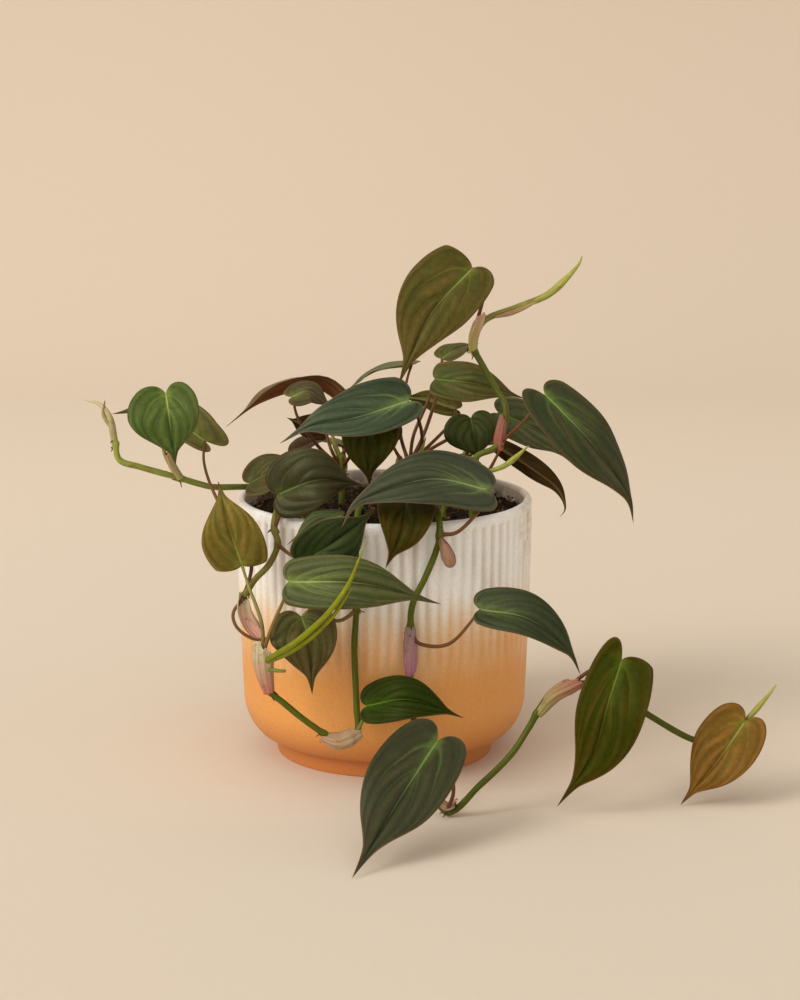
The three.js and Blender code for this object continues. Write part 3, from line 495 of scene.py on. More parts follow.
# The leaves: the vine that carries each and the name of its tone, the points of its midrib from
# notch to tip, the way its upper side faces, the widths of its two halves, and its stalk's route
# from the vine to the notch. Then, where they aren't the usual ones, the lobe's share of its full
# length for each half, how far the halves fold up along the midrib at the notch and at the tip,
# and how far the blade is drawn towards its notch.
Leaf = namedtuple("Leaf", "vine tone rib face half stalk lobe fold drawn",
    defaults=(USUAL_LOBE, USUAL_FOLD, DRAWN))
LEAVES = {
    "crown": Leaf("crown", "olive", ((43.5, -22, 250), (22.5, -36, 228), (7, -44, 195)),
        (0.1, -0.9, 0.35), (21, 16.5), ((46, -7, 220), (50, -12, 240)), (0.25, 0.5), (0.08, 0.1)),
    "right_large": Leaf("crown", "dark", ((80, -22, 187), (102, -34, 165), (120, -34, 140),
        (124, -32, 124)), (0.35, -0.75, 0.5), (19, 15), ((58, -16, 162), (69, -20, 173)),
        (0.8, 0.5), (0.15, 0.1)),
    "right_flat": Leaf("middle", "dark", ((26, 12, 190), (49, 6, 188), (72, 4, 181)),
        (0, -0.8, 0.5), (11.5, 11), ((13, 5, 148), (15, 8, 162), (22, 12, 178)), (0.3, 0.35)),
    "behind_crown": Leaf("middle", "olive", ((30, 40, 197), (38, 46, 201), (50, 54, 203)),
        (0, -0.3, 1), (8, 8), ((13, 4, 148), (21, 10, 164), (28, 26, 184)), (0.4, 0.4)),
    "back_edge": Leaf("middle", "grey_green", ((14, 38, 194), (-5, 42, 190), (-21, 40, 179)),
        (0, 0, 1), (11, 11), ((12, 4, 149), (8, 14, 164), (11, 30, 184))),
    "long_folded": Leaf("back_left", "bronze", ((-21, 22, 176), (-37, 18, 185), (-63, 6, 179),
        (-81, -2, 167)), (0, 0.2, 1), (14, 14), ((-22, 10, 150), (-16, 16, 164)), (0.8, 0.8),
        (0.3, 1)),
    "back_small": Leaf("back_left", "grey_green", ((-46, -7, 184), (-37, -3, 186), (-25, -1, 176)),
        (0.1, -0.6, 0.8), (8, 8), ((-23, 9, 146), (-33, 4, 156), (-43, -5, 172)), (1, 1),
        (-0.1, 0)),
    "left_teal": Leaf("middle", "grey_green", ((12, -22, 184), (-14, -37, 178), (-35, -42, 175),
        (-51, -42, 166)), (0, -0.8, 0.6), (17, 13), ((13, 3, 148), (19, -4, 160), (17, -12, 174)),
        (0.5, 0.6), (0.12, 0.1)),
    "middle_hanging": Leaf("back_left", "dark", ((-6, -18, 178), (-8, -28, 160), (-7, -26, 141)),
        (0, -1, 0.2), (14, 15), ((-21, 9, 146), (-12, -2, 160), (-7, -10, 174))),
    "left_dark": Leaf("left_front", "dark", ((-51, -58, 144), (-31, -63, 152), (-9, -56, 148)),
        (0, -0.9, 0.4), (15, 18), ((-53, -62, 127), (-50, -61, 136)), (0.6, 0.8), (0.05, 0.05)),
    "left_behind": Leaf("far_left", "dark", ((-66, -34, 145), (-52, -36, 152), (-36, -34, 150)),
        (0, -0.7, 0.7), (11, 11), ((-58, -13, 139), (-63, -24, 141))),
    "left_olive": Leaf("loop", "olive", ((-68, -72, 112), (-74, -78, 134), (-79, -70, 153)),
        (-0.15, -1, 0.1), (15.5, 15.5), ((-57, -90, 74), (-58, -88, 88), (-64, -81, 103)),
        (0.3, 0.3), (0.08, 0.1)),
    "far_left_back": Leaf("left_front", "green", ((-89, -22, 164), (-103, -16, 172),
        (-120, -17, 178), (-135, -25, 178)), (0, -1, 0.4), (13, 7), ((-67, -76, 97),
        (-64, -65, 112), (-74, -56, 128), (-84, -44, 144), (-89, -30, 155)), (1.6, 0.8)),
    "heart": Leaf("far_left", "green", ((-106, -42, 191), (-103, -50, 174), (-101, -50, 157)),
        (-0.05, -1, 0.3), (20, 15.5), ((-102, -30, 147), (-108, -34, 160), (-109, -35, 178)),
        (1, 1)),
    "front_dark": Leaf("left_front", "dark", ((-37, -84, 117), (-21, -87, 128), (-3, -81, 142)),
        (0.1, -1, 0.2), (14, 13), ((-51, -66, 121), (-45, -74, 118))),
    "front_grey": Leaf("loop", "grey_green", ((-44, -98, 110), (-8, -105, 110.5), (28, -98, 99)),
        (0, -0.9, 0.45), (14, 13), ((-57, -91, 74), (-53, -93, 86), (-46, -96, 103)), (0.3, 0.35),
        (0.12, 0.1)),
    "centre": Leaf("front", "grey_green", ((50, -62, 147), (22, -77, 155), (-10, -87, 147),
        (-20, -92, 134)), (0, -0.8, 0.6), (15, 15), ((27, -77, 128), (36, -78, 130),
        (47, -70, 140)), (0.5, 0.4), (0.12, 0.1)),
    "centre_hanging": Leaf("front", "dark", ((12, -66, 146), (9, -84, 132), (1, -84, 113)),
        (0, -1, 0.4), (14, 14), ((24, -48, 132), (19, -56, 142)), (0.7, 0.7), (0.1, 0.2)),
    "right_teal": Leaf("front", "grey_green", ((46, -100, 97), (68, -106, 94), (86, -108, 80),
        (93, -108, 67)), (0.2, -0.8, 0.6), (10, 13), ((13, -78, 81), (18, -84, 76), (32, -93, 79)),
        (0.3, 0.6), (0.15, 0.1)),
    "front_floor": Leaf("front", "grey_green", ((25, -140, 45), (8, -166, 26), (-13, -199, 0.8)),
        (0.1, -0.6, 0.8), (20.5, 18.5), ((30, -115, 3), (33, -124, 16), (30, -135, 34)),
        (0.8, 0.6)),
    "right_hanging": Leaf("front", "dark", ((112, -108, 75), (105, -117, 56), (98, -118, 31),
        (82, -114, 4.5)), (-0.1, -1, 0.2), (14, 18.5), ((88, -101, 60), (98, -102, 68)), (0.9, 0.3),
        (0.1, 0.15)),
    "right_bronze": Leaf("front", "bronze", ((173, -92, 40), (159, -101, 23), (142, -100, 0.8)),
        (-0.1, -0.85, 0.5), (16.5, 14.5), ((160, -90, 28), (169, -89, 33)), (0.8, 0.8),
        (0.08, 0.1)),
    "small_heart": Leaf("loop", "dark", ((-39, -84, 89.5), (-35, -91, 78), (-34, -88, 52)),
        (0, -1, 0.1), (18, 14.5), ((-13, -78, 91), (-22, -82, 87), (-33, -83, 93)), (1, 0.5),
        (0.1, 0.2), 0.13),
    "bright": Leaf("loop", "green", ((-8, -86, 46), (13, -93, 51), (39, -90, 41)), (0, -0.85, 0.55),
        (11, 12), ((-13, -84, 32), (-10, -83, 38)), (0.5, 0.5)),
    "inner_heart": Leaf("middle", "dark", ((44, 6, 171), (46, 3, 160), (48, 2, 149)), (0, -1, 0.2),
        (15.5, 13), ((13, 4, 149), (26, 8, 156), (40, 10, 164)), (1, 1), (0.25, 0.1)),
    "right_behind": Leaf("back_right", "dark", ((59, 22, 171), (83, 18, 160), (100, 14, 143)),
        (0.2, -0.8, 0.6), (13, 13), ((42, 33, 147), (50, 30, 158)), (0.7, 0.7)),
    "right_turned": Leaf("right", "bronze", ((59, -4, 157), (74, -8, 148), (87, -8, 138),
        (91.5, -9.5, 128), (88.5, -11, 122.5)), (0.1, 0.9, 0.4), (6.5, 6.5), ((46, -19, 141),
        (52, -12, 146)), (0.7, 0.7), (0.2, 0.2)),
    "back_turned": Leaf("middle", "olive", ((37, 30, 172), (22, 32, 176), (6, 34, 178)),
        (0, 0.8, 0.6), (8, 8), ((13, 4, 148), (25, 16, 157), (35, 26, 166)), (0.7, 0.7)),
    "left_turned": Leaf("back_left", "bronze", ((-30, 15, 162), (-40, 13, 166), (-50, 8, 171)),
        (0, 0.85, 0.4), (8, 9), ((-22, 9, 144), (-27, 8, 154)), (0.8, 0.8), (0.2, 0.2)),
    "centre_behind": Leaf("right", "olive", ((44, -29, 156), (35, -36, 158), (22, -42, 155.5)),
        (0, -0.3, 1), (8, 8), ((46, -19, 141), (47, -27, 148)), (0.8, 0.8), (-0.1, -0.1)),
    "middle_small": Leaf("middle", "dark", ((3, 4, 160), (0, 6, 168), (-5, 7, 178)), (0, -1, 0.2),
        (8, 8), ((12, 3, 146), (7, 5, 152)), (0.7, 0.7), (0.2, 0.1)),
    "rim": Leaf("loop", "grey_green", ((-20, -64, 134.5), (-32, -76, 134), (-46, -82, 124)),
        (0, -0.5, 0.9), (7, 7), ((-11, -55, 134), (-15, -58, 131), (-19, -63, 131.5))),
    "back_upper": Leaf("back", "dark", ((30, 88, 120), (38, 99, 104), (40, 99, 82)), (0.2, 1, 0.3),
        (16, 16), ((10, 79, 112), (20, 84, 110))),
    "back_middle": Leaf("back", "dark", ((-18, 92, 96), (-28, 101, 80), (-36, 99, 58)),
        (-0.2, 1, 0.3), (16, 16), ((4, 80, 88), (-8, 85, 88))),
    "back_lower": Leaf("back", "dark", ((26, 94, 66), (34, 102, 50), (36, 102, 28)), (0.1, 1, 0.3),
        (15, 15), ((8, 82, 64), (17, 87, 60))),
    "back_floor": Leaf("back", "green", ((-12, 104, 36), (-22, 113, 22), (-35, 122, 1.2)),
        (-0.3, 0.6, 0.9), (14, 14), ((2, 97, 34), (-5, 101, 32))),
    "back_left": Leaf("back_left", "dark", ((-22, 44, 150), (-38, 58, 150), (-58, 72, 134)),
        (-0.3, 0.5, 0.9), (14, 14), ((-22, 9, 142), (-20, 24, 142))),
    "back_right": Leaf("back_right", "dark", ((52, 44, 152), (66, 58, 156), (80, 70, 144)),
        (0.4, 0.4, 0.9), (13, 13), ((41, 33, 144), (46, 38, 147))),
}


# Colours

def linear(text):
    """A hexadecimal screen colour as the linear colour that the shaders use"""
    values = []
    for start in (0, 2, 4):
        value = int(text[start:start + 2], 16) / 255
        values.append(value / 12.92 if value < 0.04045 else ((value + 0.055) / 1.055) ** 2.4)
    return values


def paint(name):
    return linear(PAINT[name])


def shaded(colour, factor, light=0):
    return [value * factor + light for value in colour]


def blended(colours, share):
    """The colour at each share of the way between two, as red, green, blue and alpha"""
    first, last = (np.array(linear(colour)) for colour in colours)
    share = np.reshape(share, (-1, 1))
    return np.hstack([first * (1 - share) + last * share, np.ones((len(share), 1))])


def grown(pair, amount):
    """A fixed part and a part that grows with an amount"""
    return pair[0] + pair[1] * amount


# Settings

def colour_property(name, description, default):
    return FloatVectorProperty(
        name=name, description=description, subtype="COLOR", size=3, min=0, max=1,
        default=linear(default),
    )


def length_property(name, description, default, precision=4):
    return FloatProperty(
        name=name, description=description, default=default, min=0, unit="LENGTH",
        precision=precision,
    )


def number_property(name, description, default, least=0):
    return IntProperty(name=name, description=description, default=default, min=least)


def strength_property(name, description, default):
    return FloatProperty(name=name, description=description, default=default, min=0)


# Node trees

class Tree:
    """Lays out the nodes of a material or of a Geometry Nodes modifier"""

    def __init__(self, tree):
        self.tree = tree
        self.count = 0

    def node(self, kind, inputs=None, **settings):
        made = self.tree.nodes.new(kind)
        row, column = divmod(self.count, NODES_PER_ROW)
        made.location = (NODE_WIDTH * column, -NODE_HEIGHT * row)
        self.count += 1
        for name, value in settings.items():
            setattr(made, name, value)
        for name, value in (inputs or {}).items():
            self.put(value, made.inputs[name])
        return made

    def put(self, value, socket):
        if isinstance(value, bpy.types.NodeSocket):
            self.tree.links.new(value, socket)
        else:
            socket.default_value = value

    def math(self, operation, *values):
        made = self.node("ShaderNodeMath", operation=operation)
        for index, value in enumerate(values):
            self.put(value, made.inputs[index])
        return made.outputs[0]

    def times(self, first, *others):
        """The product of two or more values"""
        for other in others:
            first = self.math("MULTIPLY", first, other)
        return first

    def split(self, vector):
        return self.node("ShaderNodeSeparateXYZ", {"Vector": vector}).outputs

    def step(self, value, low, high, first=0.0, last=1.0):
        """Runs softly from first to last while the value runs from low to high"""
        made = self.node("ShaderNodeMapRange", interpolation_type="SMOOTHSTEP")
        for index, item in enumerate((value, low, high, first, last)):
            self.put(item, made.inputs[index])
        return made.outputs[0]


class Shader(Tree):
    """A new material around one Principled shader"""

    def __init__(self, name, roughness, **sockets):
        self.material = bpy.data.materials.new(name)
        self.material.use_nodes = True
        super().__init__(self.material.node_tree)
        self.surface = self.tree.nodes["Principled BSDF"]
        self.put(roughness, self.surface.inputs["Roughness"])
        for socket, value in sockets.items():
            self.put(value, self.surface.inputs[socket.replace("_", " ")])

    def place(self, scale=(1, 1, 1)):
        """The place on the object, stretched by a Mapping node"""
        coordinates = self.node("ShaderNodeTexCoord").outputs["Object"]
        return self.node("ShaderNodeMapping", {"Vector": coordinates, "Scale": scale}).outputs[0]

    def attribute(self, name, output="Vector"):
        return self.node("ShaderNodeAttribute", attribute_name=name).outputs[output]

    def stretched(self, name, scale):
        """A piece's own attribute, stretched by a Mapping node"""
        inputs = {"Vector": self.attribute(name), "Scale": scale}
        return self.node("ShaderNodeMapping", inputs).outputs[0]

    def soft(self, value, mark):
        """One of the soft steps in the table"""
        return self.step(value, *STEP[mark])

    def noise(self, vector, mark):
        """One of the noises in the table"""
        scale, detail, roughness = NOISE[mark]
        inputs = {"Vector": vector, "Scale": scale, "Detail": detail, "Roughness": roughness}
        return self.node("ShaderNodeTexNoise", inputs).outputs[0]

    def cells(self, vector, scale, feature="F1"):
        inputs = {"Vector": vector, "Scale": scale}
        return self.node("ShaderNodeTexVoronoi", inputs, feature=feature).outputs["Distance"]

    def mix(self, share, first, second, kind="MIX"):
        made = self.node("ShaderNodeMix", data_type="RGBA", blend_type=kind)
        sockets = {item.identifier: item for item in made.inputs}
        for name, value in (("Factor_Float", share), ("A_Color", first), ("B_Color", second)):
            if isinstance(value, (list, tuple)):
                value = (*value, 1)
            self.put(value, sockets[name])
        return next(item for item in made.outputs if item.identifier == "Result_Color")

    def lay(self, below, above, mask, share=1):
        """Lays one colour over another where the mask is, up to a share"""
        return self.mix(mask if share == 1 else self.times(mask, share), below, above)

    def dim(self, colour, factor):
        return self.mix(1.0, colour, factor, "MULTIPLY")

    def finish(self, colour, relief=None, height=None):
        self.put(colour, self.surface.inputs["Base Color"])
        if relief:
            depth, strength = BUMP[relief]
            inputs = {"Height": height, "Distance": depth, "Strength": strength}
            bump = self.node("ShaderNodeBump", inputs)
            self.put(bump.outputs[0], self.surface.inputs["Normal"])
        return self.material


# Meshes

def link(name, data):
    """A new object in the scene"""
    made = bpy.data.objects.new(name, data)
    bpy.context.scene.collection.objects.link(made)
    return made


def mesh_object(name, points, edges, faces, unit_length=MM):
    """A new object at the origin, from points in millimetres unless another unit is given"""
    mesh = bpy.data.meshes.new(name)
    mesh.from_pydata([tuple(point) for point in np.asarray(points) * unit_length], edges, faces)
    return link(name, mesh)


def new_piece(name, points, faces, materials, slot, *nodes):
    """A finished piece from points in millimetres"""
    piece = mesh_object(name, points, [], faces)
    mesh = piece.data
    mesh.validate()
    for material in materials:
        mesh.materials.append(material)
    mesh.polygons.foreach_set("use_smooth", [True] * len(mesh.polygons))
    mesh.update()
    settle(piece, slot, *nodes)
    return piece


def settle(piece, slot, *nodes):
    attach(piece, "root")
    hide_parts(*nodes)


def put_vectors(mesh, name, values, kind="FLOAT_VECTOR", field="vector"):
    layer = mesh.attributes.new(name, kind, "POINT")
    layer.data.foreach_set(field, np.asarray(values, dtype=np.float32).ravel())


def plain_mesh(holder):
    """The result of an object's modifiers as a plain mesh, in place of the object's own"""
    graph = bpy.context.evaluated_depsgraph_get()
    made = bpy.data.meshes.new_from_object(holder.evaluated_get(graph))
    made.name = holder.name
    holder.modifiers.clear()
    old = holder.data
    holder.data = made
    bpy.data.meshes.remove(old)
    return made


def unit(vectors):
    vectors = np.asarray(vectors, dtype=float)
    return vectors / np.maximum(np.linalg.norm(vectors, axis=-1, keepdims=True), TINY ** 2)


def sheet_faces(grid, flipped=False):
    """Four-sided faces between the rows and columns of a grid of point numbers"""
    corners = [grid[:-1, :-1], grid[1:, :-1], grid[1:, 1:], grid[:-1, 1:]]
    if flipped:
        corners[1:] = corners[:0:-1]
    return np.stack(corners, axis=-1).reshape(-1, 4)


def point_normals(points, faces):
    """The area-weighted normal at each point of a mesh of four-sided faces"""
    corners = points[faces]
    crosses = np.cross(corners[:, 2] - corners[:, 0], corners[:, 3] - corners[:, 1])
    normals = np.zeros_like(points)
    for corner in range(4):
        np.add.at(normals, faces[:, corner], crosses)
    return unit(normals)


class Path:
    """A smooth curve through points, measured by its length"""

    def __init__(self, points):
        points = np.array(points, dtype=float)
        before = 2 * points[0] - points[1]
        after = 2 * points[-1] - points[-2]
        self.knots = np.vstack([before, points, after])
        self.spans = len(points) - 1
        self.shares = np.linspace(0, 1, PATH_STEPS)
        steps = np.diff(self.at_knots(self.shares), axis=0)
        self.lengths = np.concatenate([[0], np.cumsum(np.linalg.norm(steps, axis=1))])
        self.length = self.lengths[-1]

    def at_knots(self, shares, slope=False):
        place = np.asarray(shares) * self.spans
        span = np.clip(np.floor(place).astype(int), 0, self.spans - 1)
        run = (place - span)[:, None]
        first, second, third, fourth = (self.knots[span + index] for index in range(4))
        enter = (third - first) / 2
        leave = (fourth - second) / 2
        cubic = 2 * second - 2 * third + enter + leave
        square = -3 * second + 3 * third - 2 * enter - leave
        if slope:
            return 3 * cubic * run ** 2 + 2 * square * run + enter
        return cubic * run ** 3 + square * run ** 2 + enter * run + second

    def even(self, shares):
        """The shares of the curve's knots at shares of its length"""
        shares = np.clip(np.atleast_1d(shares), 0, 1)
        return np.interp(shares * self.length, self.lengths, self.shares)

    def at(self, shares):
        return self.at_knots(self.even(shares))

    def heading(self, shares):
        return unit(self.at_knots(self.even(shares), slope=True))

    def nearest(self, point):
        """The length along the curve at which it comes closest to a point"""
        gaps = np.linalg.norm(self.at_knots(self.shares) - np.array(point), axis=1)
        return self.lengths[int(gaps.argmin())]


# Leaf blades

def outline_at(shares):
    """The outline at shares of the way from the notch to the tip"""
    arc = np.clip(np.searchsorted(ARC_ENDS, shares, side="right") - 1, 0, len(OUTLINE) - 1)
    ends = np.array(ARC_ENDS)
    run = ((shares - ends[arc]) / (ends[arc + 1] - ends[arc]))[:, None]
    corners = np.array(OUTLINE, dtype=float)[arc]
    back = 1 - run
    return (
        corners[:, 0] * back ** 3 + 3 * corners[:, 1] * back ** 2 * run
        + 3 * corners[:, 2] * back * run ** 2 + corners[:, 3] * run ** 3
    )


def bend(leaf, along, across):
    """Bends flat leaf coordinates onto the midrib"""
    path = Path(leaf.rib)
    share = np.clip(along, 0, 1)
    heading = path.heading(share)
    face = np.array(leaf.face, dtype=float)
    face = unit(face - heading * (heading @ face)[:, None])
    side = np.cross(face, heading)
    fold = (leaf.fold[0] + (leaf.fold[1] - leaf.fold[0]) * share)[:, None]
    half = np.where(across < 0, *leaf.half)[:, None]
    lobe = np.where(across < 0, *leaf.lobe)[:, None]
    reach = across[:, None] * half / np.hypot(1, fold)
    rise = np.sqrt(reach ** 2 + CREASE ** 2) - CREASE
    over = (along - share)[:, None]
    return path.at(share) + heading * over * lobe * path.length + side * reach + face * fold * rise


def vein_field(shares, outs, draw):
    """For each grid point, the count of veins from the margin inwards and the room for one vein"""
    starts = np.array(VEIN_STARTS) * draw.uniform(*START_SPREAD, VEINS)
    reaches = np.array(VEIN_REACHES) * draw.uniform(*REACH_SPREAD, VEINS)
    reaches = np.minimum(reaches, MOST_REACH)
    bases = np.array(VEIN_BASES) * draw.uniform(*BASE_SPREAD, VEINS)
    width = outline_at(shares)[:, 1]
    counts = np.zeros((len(shares), len(outs)))
    rooms = np.zeros((len(shares), len(outs)))
    for row, share in enumerate(shares):
        run = np.clip((share - starts) / (1 - starts) / VEIN_SPANS, 0, 1)
        places = bases + (reaches - bases) * (1 - (1 - run) ** VEIN_BEND)
        places = np.maximum.accumulate(places[::-1])[::-1]
        grown_veins = places[places > TINY]
        line = np.concatenate([[0], grown_veins[::-1], [1]])
        phase = np.concatenate([np.arange(len(grown_veins) + 1, 0, -1), [MARGIN_PHASE]])
        gaps = np.diff(line) * width[row]
        room = np.concatenate([gaps[:1], (gaps[1:] + gaps[:-1]) / 2, gaps[-1:]])
        counts[row] = np.interp(outs, line, phase)
        rooms[row] = np.interp(outs, line, room)
    return counts, rooms


class Blade:
    """The grid of one leaf blade, its rows from notch to tip and its columns from side to side"""

    def __init__(self, name, leaf):
        seed = sum(ord(letter) * (index + 3) for index, letter in enumerate(name))
        self.draw = np.random.default_rng(seed)
        self.look = Look(*LOOKS[name])
        self.shares = np.linspace(0, 1, LEAF_ROWS + 2)[1:-1]
        outs = 1 - (1 - np.linspace(0, 1, LEAF_COLUMNS + 1)) ** COLUMN_BUNCHING
        self.signed = np.concatenate([-outs[:0:-1], outs])
        self.out = np.abs(self.signed)[None, :]
        edge = outline_at(self.shares)
        rib = self.shares ** RIB_POWER
        along = rib[:, None] * (1 - self.out) + edge[:, :1] * self.out
        self.along = along - leaf.drawn * np.sin(np.pi * np.clip(along, 0, 1))
        self.across = self.signed[None, :] * edge[:, 1:]
        self.halves = np.where(self.signed < 0, *leaf.half)[None, :]
        left_counts, left_rooms = vein_field(self.shares, outs, self.draw)
        right_counts, right_rooms = vein_field(self.shares, outs, self.draw)
        self.counts = np.hstack([left_counts[:, :0:-1], right_counts])
        self.rooms = np.hstack([left_rooms[:, :0:-1], right_rooms]) * self.halves
        self.reach = np.abs(self.across) * self.halves
        self.edge_gap = (1 - self.out) * edge[:, 1:] * self.halves
        self.notch_count = right_counts[0, 0]

    def lift(self, settings):
        """How far each point rises: the halves swell between the veins and the margin waves"""
        shares = self.shares[:, None]
        lengthwise = np.sin(np.pi * self.shares)[:, None]
        in_margin = np.clip((self.counts - MARGIN_PHASE) / (1 - MARGIN_PHASE), 0, 1)
        swell = np.where(self.counts >= 1, self.counts - np.floor(self.counts), in_margin)
        strength = self.draw.uniform(*STRENGTH_SPREAD, (2, VEINS + 2))
        cell = np.minimum(np.floor(self.counts).astype(int), VEINS + 1)
        strength = strength[(self.signed > 0).astype(int)[None, :], cell]
        strength = strength * (LEAST_STRENGTH + (1 - LEAST_STRENGTH) * min(self.look.veins, 1))
        puff = np.minimum(settings.quilting / MM * self.rooms / QUILTED_GAP, MOST_QUILTING)
        puff = puff * strength * np.sin(np.pi * swell)
        crown = CROWN * self.halves * np.sin(np.pi * self.out) * lengthwise
        turns = self.draw.uniform(0, 2 * np.pi, 2)
        turn = np.where(self.signed < 0, *turns)[None, :]
        wave = np.sin(2 * np.pi * WAVES * shares + turn) * self.out ** WAVE_POWER
        wave = wave * WAVE_HEIGHT * self.halves / WAVE_WIDTH * lengthwise
        channel = -CHANNEL * np.exp(-(self.reach / CHANNEL_WIDTH) ** 2) * (1 - shares ** 2)
        return puff + crown + wave + channel

    def thickness(self, settings):
        """How far the upper and the lower side lie from the middle, with a keel below the rib"""
        share = np.clip(self.edge_gap / MARGIN_WIDTH, 0, 1) ** MARGIN_POWER
        half = settings.blade / MM * share / 2
        keel = KEEL * np.exp(-(self.reach / KEEL_WIDTH) ** 2)
        keel = keel * (1 - self.shares[:, None]) ** KEEL_POWER * np.clip(self.edge_gap, 0, 1)
        return half, half + keel


def blade_piece(name, leaf, settings):
    """One leaf blade as a thin closed shell whose two sides share the margin's points"""
    blade = Blade(name, leaf)
    rows, wide = blade.across.shape
    grid = np.arange(rows * wide).reshape(rows, wide)
    inner = np.arange(1, wide - 1)
    margin = [0, wide - 1]
    quads = sheet_faces(grid)
    points = bend(leaf, blade.along.ravel(), blade.across.ravel())
    ends = np.vstack([bend(leaf, np.array([end]), np.zeros(1)) for end in (0.0, 1.0)])
    points += point_normals(points, quads) * blade.lift(settings).reshape(-1, 1)
    normals = point_normals(points, quads)
    above, beneath = blade.thickness(settings)
    upper = (points + normals * above.reshape(-1, 1)).reshape(rows, wide, 3)
    lower = (points - normals * beneath.reshape(-1, 1)).reshape(rows, wide, 3)
    upper[:, margin] = points.reshape(rows, wide, 3)[:, margin]
    start = rows * wide
    below = grid.copy()
    below[:, inner] = start + len(ends) + np.arange(rows * len(inner)).reshape(rows, -1)
    faces = quads.tolist() + sheet_faces(below, flipped=True).tolist()
    for column in range(wide - 1):
        faces.append([start, grid[0, column], grid[0, column + 1]])
        faces.append([start, below[0, column + 1], below[0, column]])
        faces.append([start + 1, grid[-1, column + 1], grid[-1, column]])
        faces.append([start + 1, below[-1, column], below[-1, column + 1]])

    def whole(values, at_ends, under):
        """Values of the upper side, the notch and the tip, and the inner lower side"""
        return np.vstack([values.reshape(-1, 3), at_ends, under.reshape(-1, 3)])

    material = leaf_material(name, settings)
    shell = whole(upper, ends, lower[:, inner])
    piece = new_piece(
        f"blade_{name}", shell, faces, [material], f"leaf_{leaf.tone}", f"leaf_{name}")
    full = np.ones((rows, wide))
    reach = blade.reach * np.sign(blade.signed)[None, :]
    lines = np.stack([blade.counts, blade.shares[:, None] * full, reach], axis=-1)
    # The last value is 1 above and 0 beneath, and half of it along the margin that they share
    sides = np.stack([blade.rooms, blade.edge_gap, full], axis=-1)
    sides[:, margin, 2] = 0.5
    under = sides[:, inner].copy()
    under[..., 2] = 0
    at_ends = [[blade.notch_count, 0, 0], [1, 1, 0]]
    put_vectors(piece.data, "lines", whole(lines, at_ends, lines[:, inner]))
    put_vectors(piece.data, "blade", whole(sides, [NOTCH_SIDES, TIP_SIDES], under))


